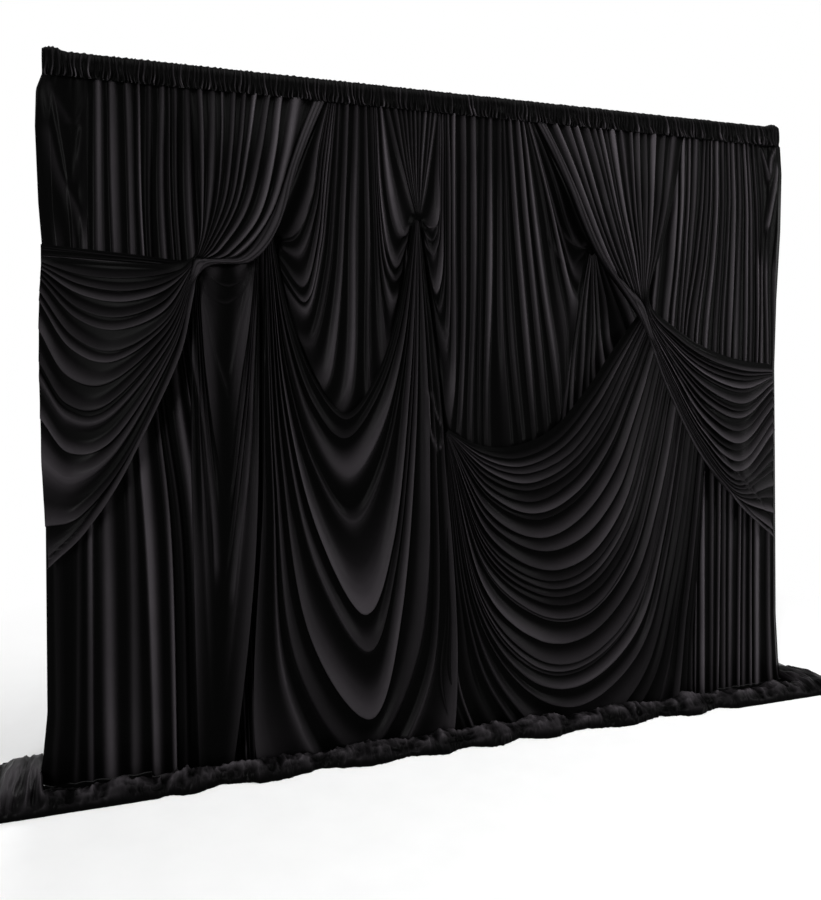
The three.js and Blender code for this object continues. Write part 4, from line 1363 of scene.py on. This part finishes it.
LEFT_SIDE_LINES = guide_lines(
    (-687, 1000, -680, 928, -673, 844, -670, 781, -690, 745, -753, 737, -840, 737, -927, 739, -1003, 744),
    (-653, 1000, -650, 928, -652, 844, -661, 781, -687, 741, -753, 712, -840, 700, -927, 709, -1003, 734),
    (-600, 1000, -603, 920, -617, 840, -650, 776, -683, 738, -747, 675, -847, 646, -933, 662, -1005, 715),
    (-553, 1000, -567, 916, -590, 835, -637, 772, -679, 736, -740, 652, -857, 591, -947, 608, -1008, 675),
    (-510, 1000, -530, 911, -563, 827, -620, 768, -675, 735, -735, 637, -867, 540, -953, 540, -1009, 599),
    (-470, 1000, -490, 907, -530, 819, -600, 762, -671, 733, -728, 624, -853, 498, -947, 473, -1007, 515),
    (-420, 1000, -453, 907, -503, 814, -577, 757, -667, 732, -721, 616, -833, 473, -933, 409, -1003, 418),
    (-370, 1000, -427, 907, -487, 800, -545, 750, -663, 731, -715, 610, -817, 464, -913, 371, -993, 321),
)

RIGHT_SIDE_LINES = guide_lines(
    (647, 1000, 617, 886, 577, 793, 541, 703, 627, 656, 727, 622, 840, 601, 957, 591),
    (600, 1000, 583, 886, 557, 793, 536, 698, 627, 635, 733, 595, 850, 576, 957, 579),
    (533, 1000, 533, 886, 530, 793, 531, 694, 625, 616, 733, 561, 853, 536, 958, 568),
    (467, 1000, 483, 886, 505, 793, 527, 690, 620, 599, 727, 523, 847, 492, 959, 549),
    (400, 1000, 437, 886, 477, 789, 522, 687, 613, 584, 720, 489, 843, 445, 960, 515),
    (333, 1000, 390, 886, 450, 781, 517, 684, 607, 572, 713, 464, 840, 392, 960, 456),
    (267, 1000, 340, 886, 420, 772, 513, 680, 600, 563, 707, 449, 833, 365, 959, 371),
    (190, 1000, 283, 895, 375, 785, 507, 677, 593, 557, 700, 441, 823, 354, 957, 283),
)

SASH_LINES = guide_lines(
    (-1003, 763, -900, 758, -800, 753, -720, 748, -687, 750, -657, 755),
    (-1003, 738, -900, 735, -800, 733, -720, 731, -693, 728, -663, 724),
)


FAN_MARKS: Marks = (
    (0.45, 1.55, 0.8), (0.475, 1.55, 0.7),
    *level(
        1.5, (0.5, 0.8), (0.53, 0.5), (0.55, 0.8), (0.585, 0.9),
    ),
    (0.62, 1.55, 0.7),
)

UPPER_MARKS: Marks = (
    (-0.68, 1.86, 0.6), (-0.685, 1.81, 0.7), (-0.685, 1.74, 0.7), (-0.64, 1.645, 0.9),
    *level(
        2.1, (-0.592, 0.7), (-0.544, 0.8), (-0.516, 0.5), (-0.48, 0.9), (-0.446, 0.8), (-0.4, 0.6), (-0.36, 0.9),
    ),
    (-0.31, 1.67, 0.8), (-0.3, 1.8, 1.0), (-0.265, 1.905, 1.0),
    *level(
        2.2, (-0.28, 0.5), (-0.264, 0.6), (-0.248, 0.5), (-0.236, 0.8), (-0.224, 0.5), (-0.212, 0.9), (-0.2, 0.5),
        (-0.184, 0.9), (-0.168, 0.6), (-0.156, 0.8),
    ),
    (-0.15, 1.93, 0.8), (-0.155, 1.86, 0.8), (-0.14, 1.69, 0.8), (-0.1, 1.53, 0.7),
    *level(
        2.1, (-0.056, 1.0), (-0.018, 0.9), (0.024, 0.8), (0.058, 0.5), (0.094, 1.0), (0.134, 0.6), (0.156, 0.5),
        (0.192, 0.9), (0.232, 0.9), (0.268, 1.0), (0.336, 1.0),
    ),
    (0.43, 1.815, 0.7), (0.46, 2.05, 0.4), (0.47, 1.9, 0.5),
)

COLUMN_MARKS: Marks = (
    (-0.85, 1.3, 0.6), (-0.91, 1.05, 0.6), (-0.93, 0.62, 0.8),
)

LEFT_SWAG_MARKS: Marks = (
    (-0.47, 1.225, 0.9), (-0.48, 1.15, 0.5), (-0.48, 1.04, 0.9), (-0.45, 0.82, 0.5), (-0.42, 0.53, 1.0),
    (-0.42, 0.375, 0.8), (-0.39, 0.14, 1.0), (-0.17, 0.6, 0.7), (-0.13, 0.6, 0.8),
)

RIGHT_SWAG_MARKS: Marks = (
    *upright(
        0.3, (1.115, 1.0), (1.077, 0.5), (1.043, 0.9), (1.0, 0.7), (0.963, 0.9), (0.927, 0.7), (0.887, 0.5),
        (0.839, 0.9), (0.807, 0.4), (0.747, 1.0), (0.683, 0.9), (0.62, 1.0), (0.567, 0.5), (0.52, 1.0),
        (0.43, 0.8), (0.34, 1.0), (0.25, 0.7), (0.17, 1.0), (0.1, 0.7),
    ),
    *level(
        0.8, (-0.078, 0.9), (-0.024, 0.9), (0.03, 0.9),
    ),
    (0.864, 1.1, 0.9), (0.94, 1.1, 0.8),
)

LEFT_SIDE_UPPER_MARKS: Marks = level(
    2.1, (-0.986, 0.8), (-0.955, 0.6), (-0.925, 0.7), (-0.898, 0.6), (-0.87, 0.6), (-0.842, 1.0), (-0.802, 0.9),
    (-0.75, 1.0), (-0.714, 0.9), (-0.672, 1.0),
)

LEFT_SIDE_LOWER_MARKS: Marks = upright(
    -1.3, (1.711, 0.6), (1.667, 0.7), (1.633, 1.0), (1.585, 0.6), (1.547, 1.0), (1.467, 0.8), (1.427, 1.0),
    (1.363, 1.0), (1.29, 0.7), (1.255, 0.9), (1.17, 1.0), (1.11, 1.0), (1.025, 0.9), (0.97, 0.8),
)

RIGHT_SIDE_UPPER_MARKS: Marks = level(
    2.0, (0.51, 0.7), (0.54, 1.0), (0.568, 0.6), (0.596, 0.8), (0.628, 0.7), (0.648, 0.5), (0.664, 0.8),
    (0.68, 0.5), (0.696, 0.9), (0.716, 0.5), (0.744, 0.9), (0.768, 0.6), (0.788, 0.5), (0.816, 1.0),
    (0.844, 0.5),
)

RIGHT_SIDE_LOWER_MARKS: Marks = (
    *upright(
        1.2, (1.41, 0.7), (1.385, 0.6), (1.36, 0.6), (1.335, 1.0), (1.31, 0.4), (1.267, 1.0), (1.23, 0.5),
        (1.2, 1.0), (1.15, 0.7), (1.1, 1.0), (1.06, 0.4), (1.027, 1.0), (0.987, 0.9), (0.945, 0.6),
        (0.9, 0.8),
    ),
    *upright(
        1.43, (1.01, 0.8), (0.95, 0.6), (0.9, 0.9), (0.84, 0.7), (0.79, 0.9), (0.74, 0.8), (0.7, 0.8),
    ),
)


COLUMN_CREASES = (
    crease(4, 14, 6, -1000, 1720, -970, 1660, -915, 1630, -860, 1665, -830, 1730),
    crease(4.5, 10, 4, -960, 1720, -940, 1700, -905, 1690, -870, 1700, -855, 1720),
    crease(4, 11, 5, -1000, 1710, -975, 1600, -940, 1430, -900, 1300),
    crease(2.2, 6, 9, -825, 1730, -850, 1600, -875, 1480, -895, 1360),
    crease(7, 20, 7, -1045, 1580, -1025, 1440, -990, 1220, -960, 900, -950, 600),
    crease(7, 7, 20, -805, 1750, -820, 1400, -830, 1100, -870, 800, -900, 500),
)

UPPER_CREASES = (
    crease(7, 7, 5, -309, 2096, -286, 1979, -259, 1900, -235, 1925, -208, 1954),
    crease(6, 7, 5, -344, 1976, -329, 1856, -298, 1802, -259, 1859, -227, 1923),
    crease(8, 5, 5, -116, 2109, -120, 1989, -152, 1935, -200, 1950),
    crease(7, 5, 4, -124, 1959, -130, 1910, -152, 1882, -200, 1940),
    crease(7, 5, 4, -120, 1921, -130, 1870, -156, 1837, -200, 1930),
    crease(5, 16, 9, 351, 2062, 391, 1954, 459, 1890, 527, 1897),
    crease(4, 16, 9, 338, 1924, 392, 1836, 459, 1822, 518, 1881),
)

LEFT_SWAG_CREASES = (
    crease(9, 8, 5, -161, 1319, -166, 1262, -156, 1179, -125, 1091, -95, 1140),
    crease(8, 6, 5, -152, 1319, -140, 1265, -125, 1216, -95, 1159),
    crease(8, 6, 5, -111, 1318, -100, 1275, -85, 1234, -65, 1177),
)

RIGHT_SIDE_CREASES = (
    crease(6, 8, 5, 830, 1600, 930, 1420, 1030, 1220, 1130, 1080, 1240, 960, 1350, 850, 1430, 750),
)


@dataclass
class FrontDrapes:
    """The tied swags, rolls and scoops that hang in front of the back curtain.

    Fields:
        edge_plane: How far the side drapes hang in front of the frame at the outer edges.
        swag_fold: How high the folds of the column, the swags and the side drapes may stand.
        roll, small_roll: How wide the side drapes' rolls are above and below the knots.
        gathers_end: Where along a panel its header gathers end.
        retreat_start, retreat_end: Distances from the middle between which the side drapes step back.
    """

    upper_plane: float = 84.6 * MM
    fan_plane: float = 66.3 * MM
    swag_plane: float = 112.9 * MM
    side_plane: float = 145.2 * MM
    edge_plane: float = 76.3 * MM
    sash_plane: float = 64.3 * MM
    swag_fold: float = 16 * MM
    roll: float = 44 * MM
    small_roll: float = 14 * MM
    gathers_end: float = 0.1
    retreat_start: float = 1045 * MM
    retreat_end: float = 1480 * MM

    def retreat(self, x: Array) -> Array:
        """How far the side drapes step back towards the outer edges."""
        return (self.side_plane - self.edge_plane) * eased(np.abs(x), self.retreat_start, self.retreat_end)

    def panels(self) -> list[FoldedPanel]:
        """Every front panel, from the back to the front."""
        bar, upper, tied = ("crossbar_outer_tube",), ("upper_curtain",), Held.GATHERED
        upper_run, lower_run = (-1, -0.5, 0.42, 0.5), (0.42, 0.5, 1.5, 2)
        right_upper_run, right_lower_run = (-1, -0.5, 0.36, 0.44), (0.36, 0.44, 1.5, 2)
        return [
            FoldedPanel(
                "left_sash", (0.06, 0.53), Held.STRETCHED, ("back_curtain_left",),
                SASH_LINES, self.sash_plane, 4 * MM, (Folds(31, (), 9 * MM, drift=0.3, fade=0.6),),
                columns=90, rows=160, lean=0.3, tuck=(0.6, 4 * MM),
            ),
            FoldedPanel(
                "gathered_fan", (0.22, 0.62), tied, upper,
                FAN_LINES, self.fan_plane, 6 * MM, (Folds(41, FAN_MARKS, 60 * MM),),
                columns=200, rows=90,
            ),
            FoldedPanel(
                "upper_curtain", (1.4, 1.2), tied, bar,
                UPPER_LINES, self.upper_plane, 12 * MM,
                (
                    Folds(51, UPPER_MARKS, 120 * MM, valley=0.4, sharp=2.6, spans=(-1, -0.5, 0.6, 1.3)),
                    header_gathers(53, self.gathers_end),
                ),
                columns=820, rows=180, lean=0.8, foot_tuck=30 * MM, creases=UPPER_CREASES,
            ),
            FoldedPanel(
                "left_column_curtain", (0.45, 1.4), tied, upper,
                COLUMN_LINES, self.swag_plane, self.swag_fold,
                (Folds(61, COLUMN_MARKS, 400 * MM, 0.5, 0.5, dip=0.9),),
                columns=260, rows=240, lean=0.6, creases=COLUMN_CREASES,
            ),
            FoldedPanel(
                "left_floor_swag", (0.9, 1.8), tied, upper,
                LEFT_SWAG_LINES, self.swag_plane, self.swag_fold,
                (Folds(71, LEFT_SWAG_MARKS, 300 * MM, sharp=2.6, plain=(150 * MM, 500 * MM), painted_highlight=0.85),),
                columns=320, rows=300, lean=1.1, creases=LEFT_SWAG_CREASES,
            ),
            FoldedPanel(
                "right_floor_swag", (1.1, 1.8), tied, upper,
                RIGHT_SWAG_LINES, self.swag_plane, self.swag_fold,
                (Folds(81, RIGHT_SWAG_MARKS, 90 * MM, sharp=2.3, painted_highlight=0.87),),
                columns=420, rows=280, lean=1.1,
            ),
            FoldedPanel(
                "left_side_drape", (0.55, 1.7), tied, bar,
                LEFT_SIDE_LINES, self.side_plane, self.swag_fold,
                (
                    Folds(91, LEFT_SIDE_UPPER_MARKS, 90 * MM, spans=upper_run),
                    Folds(92, LEFT_SIDE_LOWER_MARKS, 90 * MM, 0.8, sharp=2.5, spans=lower_run, painted_highlight=0.9),
                    header_gathers(94, self.gathers_end),
                ),
                columns=520, rows=300, lean=1.1, retreats=self.retreat,
                rolls=(
                    Roll(self.roll, spans=(-1, 0.02, 0.5, 0.54)),
                    Roll(self.small_roll, 1, 0, spans=(0.5, 0.54, 1.5, 2)),
                ),
            ),
            FoldedPanel(
                "right_side_drape", (0.7, 1.7), tied, bar,
                RIGHT_SIDE_LINES, self.side_plane, self.swag_fold,
                (
                    Folds(
                        101, RIGHT_SIDE_UPPER_MARKS, 50 * MM, valley=0.7, sharp=2.2, spans=right_upper_run,
                        painted_highlight=1.3,
                    ),
                    Folds(102, RIGHT_SIDE_LOWER_MARKS, 90 * MM, sharp=2.3, spans=right_lower_run),
                    header_gathers(104, self.gathers_end),
                ),
                columns=520, rows=280, lean=1.1, retreats=self.retreat,
                rolls=(
                    Roll(self.roll, twist=5, spans=(-1, 0.02, 0.46, 0.5)),
                    Roll(self.small_roll, 1, 0, spans=(0.46, 0.5, 1.5, 2)),
                ),
                creases=RIGHT_SIDE_CREASES,
            ),
        ]

    def build(self, satin: bpy.types.Material) -> list[bpy.types.Object]:
        """Makes every front panel."""
        return [panel.build(satin) for panel in self.panels()]


@dataclass
class HeaderCasing(Sheet):
    """The gathered sleeve round the crossbar, drawn up tight, with its seam behind.

    Fields:
        half_depth, rise, drop, lip: How far it goes from the bar's middle, and its lip's length.
        outline: Its section, forwards and up, where 1 is half_depth, rise or drop, and the lip is what is below -1.
        gathers, puckers, pucker: Distances between coarse and between fine gathers, and their depth.
        gather_share, pucker_share: Their share of it at the top, and what is added at the bottom.
        gather_crest, pucker_crest: The same for how much painted highlight they get.
        corner_place, corner_width, corner_lift: Where its top goes up near the ends, and how far.
    """

    name: str = "header_casing"
    flat: Pair = (3.6, 0.27)
    held: Held = Held.GATHERED
    rests_on: tuple[str, ...] = ("crossbar_outer_tube",)
    half_width: float = 1500 * MM
    bar_height: float = 2400 * MM
    half_depth: float = 37 * MM
    rise: float = 61 * MM
    drop: float = 30 * MM
    lip: float = 6 * MM
    columns: int = 1800
    round_steps: int = 40
    outline: Line = (
        (-0.5, -1), (0.6, -0.98), (1.0, -1), (1.14, -1.75), (1.22, -1.75), (1.2, -1), (1.1, -0.55), (1, 0),
        (0.92, 0.45), (0.6, 0.85), (0, 1), (-0.55, 0.85), (-0.92, 0.35), (-1, -0.4), (-0.9, -1), (-0.55, -1.02),
    )
    sway: float = 3 * MM
    gathers: Pair = (9 * MM, 27 * MM)
    puckers: Pair = (7 * MM, 15 * MM)
    pucker: float = 8 * MM
    gather_share: Pair = (0.8, 0.65)
    pucker_share: Pair = (0.35, 0.55)
    gather_crest: Pair = (0.6, 0.4)
    pucker_crest: Pair = (0.3, 0.4)
    top_shade: float = 0.15
    corner_place: float = 1.47
    corner_width: float = 0.05
    corner_lift: float = 12 * MM
    taper: float = 0.62
    taper_start: float = 1.44
    rim_height: float = 4 * MM

    def ring(self) -> tuple[Array, Array]:
        """The section in even steps, from its lower back edge round the front.

        Returns:
            How far each step lies forwards, and how far up.
        """
        outline = np.array(self.outline)
        lengths = np.linalg.norm(np.diff(outline, axis=0), axis=1)
        places = np.concatenate([[0], np.cumsum(lengths)]) / lengths.sum()
        turns = np.linspace(0, 1, self.round_steps)
        across, up = (np.interp(turns, places, outline[:, i])[None, :] for i in range(2))
        return across, up

    def surface(self) -> Surface:
        """Gathers the sleeve round the crossbar.

        Returns:
            The sleeve's points and each one's share of the painted highlight, lightest on a gather's crest; all of
            them stay.
        """
        across, up = self.ring()
        x = np.linspace(-self.half_width, self.half_width, self.columns)[:, None]
        swayed = x + self.sway * np.sin(2.3 * up + 40 * x)
        low = eased(-up, -0.5, 0.7)
        gathers = pleated(swayed, self.gathers, 201) - 0.5
        puckers = pleated(swayed + self.sway * up, self.puckers, 202) - 0.5

        def shown(gather: Pair, pucker: Pair) -> Array:
            """Gathers and puckers together, each with its share at the top and what is added at the bottom."""
            return gathers * (gather[0] + gather[1] * low) + puckers * (pucker[0] + pucker[1] * low)

        corner = 1 - eased(np.abs(np.abs(x) - self.corner_place), 0.0, self.corner_width)
        taper = 1 - self.taper * eased(np.abs(x), self.taper_start, self.half_width)
        rim = pleated(x, self.gathers, 203)
        relief = self.pucker * shown(self.gather_share, self.pucker_share)
        above = up * (self.rise + self.rim_height * (rim - 0.6) + self.corner_lift * corner)
        hanging_lip = np.clip(-up - 1, 0, None) / 0.75 * self.lip * (0.75 + 0.5 * rim)
        below = np.maximum(up, -1) * self.drop - hanging_lip * taper
        points = np.empty((self.columns, self.round_steps, 3))
        points[..., 0] = x
        points[..., 1] = -across * (self.half_depth * taper + relief)
        points[..., 2] = self.bar_height + np.where(up > 0, above, below)
        # Painted highlight on the gathers and puckers, with painted shade towards the top of the sleeve.
        crest = 0.5 + shown(self.gather_crest, self.pucker_crest) - self.top_shade * (1 - low)
        return points, crest, None


@dataclass
class PuddledHem(Sheet):
    """The surplus length of the drapes, lying in rucks along the floor and over the base plates.

    Fields:
        skirt, skirt_share: Where the flat part behind the rucks starts, and its share of the rows.
        spill_back: How far behind the frame it lies outside the drape, on the left and on the right.
        outer, plates, tip: Where it gets to lie outside the drape, on a plate, and lower at its ends.
        layers: Each layer of rucks, with its pitch, how far a ruck runs, and its share.
        crumple, stray: How far the rucks push it forwards and back, and sideways.
        hem, over_plate: How high its lowest parts lie over the floor and over a plate.
    """

    name: str = "puddled_hem"
    flat: Pair = (3.6, 0.27)
    held: Held = Held.LAID
    rests_on: tuple[str, ...] = ("left_base_plate", "right_base_plate")
    reach: float = 1672 * MM
    ruck_start: float = 112 * MM
    front: float = 216 * MM
    most_front: float = 222 * MM
    skirt: float = 30 * MM
    skirt_share: float = 0.15
    spill_back: Pair = (190 * MM, 50 * MM)
    outer: Pair = (1.505, 1.53)
    plates: Pair = (1.11, 1.16)
    tip: float = 1.58
    height: float = 46 * MM
    layers: Marks = ((90 * MM, 0.5, 0.3), (48 * MM, 0.34, 0.45), (24 * MM, 0.2, 0.3))
    crumple: float = 36 * MM
    stray: float = 10 * MM
    stray_pitch: float = 30 * MM
    scallop: float = 0.27
    scallop_depth: float = 30 * MM
    columns: int = 1700
    rows: int = 84
    hem: float = 1.5 * MM
    over_plate: float = 2 * MM
    seed: int = 301

    def surface(self) -> Surface:
        """Lays the hem on the floor in rucks.

        Returns:
            The hem's points and how near each is to a ruck's crest; all of them stay.
        """
        along = np.linspace(0, 1, self.rows)
        x = np.linspace(-self.reach, self.reach, self.columns)
        rise = sum(
            share * ruffled(x, along, pitch, run, self.seed + i)
            for i, (pitch, run, share) in enumerate(self.layers)
        )
        stray = ruffled(x, along, self.stray_pitch, 0.2, self.seed + len(self.layers)) - 0.6
        x, along = x[:, None], along[None, :]
        outer, plate = (eased(np.abs(x), *span) for span in (self.outer, self.plates))
        scallops = 0.5 + 0.5 * np.sin(2 * np.pi * x / self.scallop + 1.3 * np.sin(5.1 * x))
        share = np.clip((along - self.skirt_share) / (1 - self.skirt_share), 0, 1)
        arch = np.sin(np.pi * share)
        across = x + self.stray * stray * arch
        depth = self.depth(x, along, share, rise, scallops, outer, plate)
        top = plate_top(across, -depth, 4 * MM)
        low = np.where(top > 0, top + self.over_plate, self.hem)
        tip = eased(np.abs(x), self.tip, self.reach)
        swell = self.height * (1 - 0.45 * tip**2) * (0.8 + 0.35 * scallops * (1 - outer) + 0.3 * outer)
        height = np.maximum(low, self.hem + swell * arch**0.6 * (0.35 + 1.1 * rise))
        points = np.stack([across, -depth, height], axis=-1)
        # Painted highlight on the rucks' crests, fading towards the hem's front and back edges.
        return points, 2.1 * (rise - 0.38) * np.sqrt(arch), None

    def depth(
        self, x: Array, along: Array, share: Array, rise: Array, scallops: Array,
        outer: Array, plate: Array,
    ) -> Array:
        """How far in front of the frame each point lies.

        Args:
            x, along, share: Places along the floor, from back to front, and the same within the rucks.
            rise, scallops: How high the rucks are, and how far the front edge comes forwards.
            outer, plate: Where the hem lies outside the drape, and on a plate.

        Returns:
            The distances, in metres.
        """
        front = self.front - self.scallop_depth * (1 - scallops) * (1 - plate)
        start = self.ruck_start * (1 - outer) - np.where(x < 0, *self.spill_back) * outer
        middle, half = (start + front) / 2, (front - start) / 2
        skirt = self.skirt + (self.ruck_start - self.skirt) * np.clip(along / self.skirt_share, 0, 1)
        loose = self.crumple * (rise - 0.55) * eased(share, 0, 0.25)
        turn = np.cos(np.pi * share)
        rolled = middle - half * turn - loose * turn * (1 - 0.85 * plate)
        depth = np.where(share > 0, rolled, skirt * (1 - outer) + start * outer)
        return np.minimum(depth, self.most_front)


@dataclass
class Hardware:
    """The metal frame, whose parts keep their shape and get their finish."""

    materials: dict[Slot, bpy.types.Material]

    def dress(self) -> int:
        """Gives each part of the frame its finish.

        Returns:
            How many parts were dressed.
        """
        slots = {entry["node"]: entry["material_slot"] for entry in self.entries()}
        dressed = 0
        for name, part in frame["nodes"].items():
            slot = Slot(slots[name])
            if slot is Slot.CLOTH:
                continue
            for place in part.material_slots:
                place.material = self.materials[slot]
            dressed += 1
        return dressed

    def entries(self) -> list[dict]:
        """The record's list of parts, each with its node and slot."""
        found: list[dict] = []

        def walk(value: object) -> None:
            """Collects each part in a value of the record."""
            if isinstance(value, dict):
                if "node" in value and "material_slot" in value:
                    found.append(value)
                for inner in value.values():
                    walk(inner)
            elif isinstance(value, list):
                for inner in value:
                    walk(inner)

        walk(frame["record"])
        return found


@dataclass
class Studio:
    """A plain pale floor, soft light and the photograph's view."""

    eye: Triple = (-1.275, -3.12, 1.425)
    yaw: float = 18.80
    pitch: float = -1.24
    lens: float = 34.6
    film: float = 36.0
    shift: float = -0.0772
    room_light: float = 0.07
    floor_size: float = 40.0
    fade: Pair = (1.75, 3.0)

    def camera(self) -> None:
        """Sets the camera where the photograph's stood."""
        data = bpy.data.cameras.new("eye")
        data.sensor_fit = "VERTICAL"
        data.sensor_height = self.film
        data.lens = self.lens
        data.shift_y = self.shift
        eye = bpy.data.objects.new("eye", data)
        bpy.context.collection.objects.link(eye)
        eye.location = self.eye
        eye.rotation_euler = (math.radians(90 + self.pitch), 0, math.radians(-self.yaw))
        bpy.context.scene.camera = eye

    def lamp(
        self, name: str, place: Triple, target: Triple,
        size: Pair, power: float,
    ) -> None:
        """One soft box.

        Args:
            name: Its name.
            place: Where it stands.
            target: Where it points.
            size: Its width and height.
            power: Its strength in watts.
        """
        data = bpy.data.lights.new(name, "AREA")
        data.shape = "RECTANGLE"
        data.size, data.size_y = size
        data.energy = power
        lamp = bpy.data.objects.new(name, data)
        bpy.context.collection.objects.link(lamp)
        lamp.location = place
        aim = Vector(target) - Vector(place)
        lamp.rotation_euler = aim.to_track_quat("-Z", "Y").to_euler()

    def lights(self) -> None:
        """Soft boxes at both sides and above, with a faint fill."""
        self.lamp("left_box", (-6.2, -8.2, 3.2), (0.1, 0, 3.2), (0.75, 5.6), 1150)
        self.lamp("right_box", (3.8, -2.5, 2.5), (1.0, 0, 2.5), (0.35, 4.4), 210)
        self.lamp("top_box", (0.0, -0.8, 4.8), (0, -0.8, 0), (4.0, 1.4), 130)
        self.lamp("back_box", (0.0, 4.0, 3.4), (0, 0, 1.2), (3.0, 2.0), 150)

    def backdrop(self) -> None:
        """White where the camera looks past the object, and a dim grey for everything else."""
        world = bpy.data.worlds.new("room")
        bpy.context.scene.world = world
        world.use_nodes = True
        tree = world.node_tree
        ground = tree.nodes["Background"]
        rays = tree.nodes.new("ShaderNodeLightPath")
        seen = rays.outputs["Is Camera Ray"]
        for kind in ("Is Glossy Ray", "Is Transmission Ray"):
            either = tree.nodes.new("ShaderNodeMath")
            either.operation = "MAXIMUM"
            tree.links.new(seen, either.inputs[0])
            tree.links.new(rays.outputs[kind], either.inputs[1])
            seen = either.outputs[0]
        strength = tree.nodes.new("ShaderNodeMapRange")
        strength.inputs["To Min"].default_value = self.room_light
        strength.inputs["To Max"].default_value = 1.0
        tree.links.new(seen, strength.inputs["Value"])
        tree.links.new(strength.outputs[0], ground.inputs["Strength"])
        ground.inputs["Color"].default_value = (1, 1, 1, 1)

    def floor(self) -> None:
        """A plain pale floor that takes the object's shadow."""
        half = self.floor_size / 2
        mesh = bpy.data.meshes.new("floor")
        corners = [(-half, -half, 0), (half, -half, 0), (half, half, 0), (-half, half, 0)]
        mesh.from_pydata(corners, [], [(0, 1, 2, 3)])
        floor = bpy.data.objects.new("floor", mesh)
        bpy.context.collection.objects.link(floor)
        sheet = NodeSheet("pale_floor")
        grain = sheet.noise(sheet.place(), 8.0, 4.0)
        sheet.surface(
            Base_Color=sheet.blend(grain, Colour(238, 238, 238), Colour(244, 244, 244)),
            Roughness=sheet.spread(grain, (0.3, 0.7), (0.75, 0.85)),
        )
        rays = sheet.add("ShaderNodeLightPath").outputs
        seen = sheet.math("MAXIMUM", rays["Is Camera Ray"], rays["Is Glossy Ray"])
        seen = sheet.math("MAXIMUM", seen, rays["Is Transmission Ray"])
        away = sheet.add("ShaderNodeVectorMath", {0: sheet.place()}, operation="LENGTH").outputs["Value"]
        far = sheet.math("MULTIPLY", seen, sheet.spread(away, self.fade, (0, 1)))
        white = sheet.add("ShaderNodeEmission", {"Color": (1, 1, 1, 1), "Strength": 1.0})
        mixed = sheet.add("ShaderNodeMixShader", {0: far})
        sheet.feed(mixed.inputs[1], sheet.shader.outputs[0])
        sheet.feed(mixed.inputs[2], white.outputs[0])
        sheet.feed(sheet.output.inputs["Surface"], mixed.outputs[0])
        mesh.materials.append(sheet.material)

    def build(self) -> None:
        """Sets up the whole studio."""
        self.floor()
        self.backdrop()
        self.lights()
        self.camera()
        bpy.context.scene.view_settings.view_transform = "Standard"


@dataclass
class Backdrop:
    """The whole object."""

    finishes: Finishes = field(default_factory=Finishes)
    left_end: Triple = (-1.455, 0.0, 0.0)
    right_end: Triple = (1.455, 0.0, 0.0)

    def hang(self, piece: bpy.types.Object) -> None:
        """Bakes a piece of cloth's placement into its mesh, and logs its faces and area."""
        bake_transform(piece)
        area = sum(face.area for face in piece.data.polygons)
        log.info("%s: %d faces, %.2f square metres", piece.name, len(piece.data.polygons), area)

    def build(self) -> None:
        """Builds and dresses every sub-assembly."""
        materials = self.finishes.materials()
        log.info("hardware: %d parts dressed", Hardware(materials).dress())
        satin = materials[Slot.CLOTH]
        for piece in (*BackCurtain().build(satin), *FrontDrapes().build(satin)):
            self.hang(piece)
        for sheet in (HeaderCasing(), PuddledHem()):
            self.hang(sheet.build(satin))


def main() -> None:
    """Builds the backdrop and its studio, logging how many frame parts were dressed and how large each piece of
    cloth is.
    """
    logging.basicConfig(level=logging.INFO, format="%(name)s: %(message)s")
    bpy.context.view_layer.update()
    Backdrop().build()
    Studio().build()


if __name__ == "__main__":
    main()
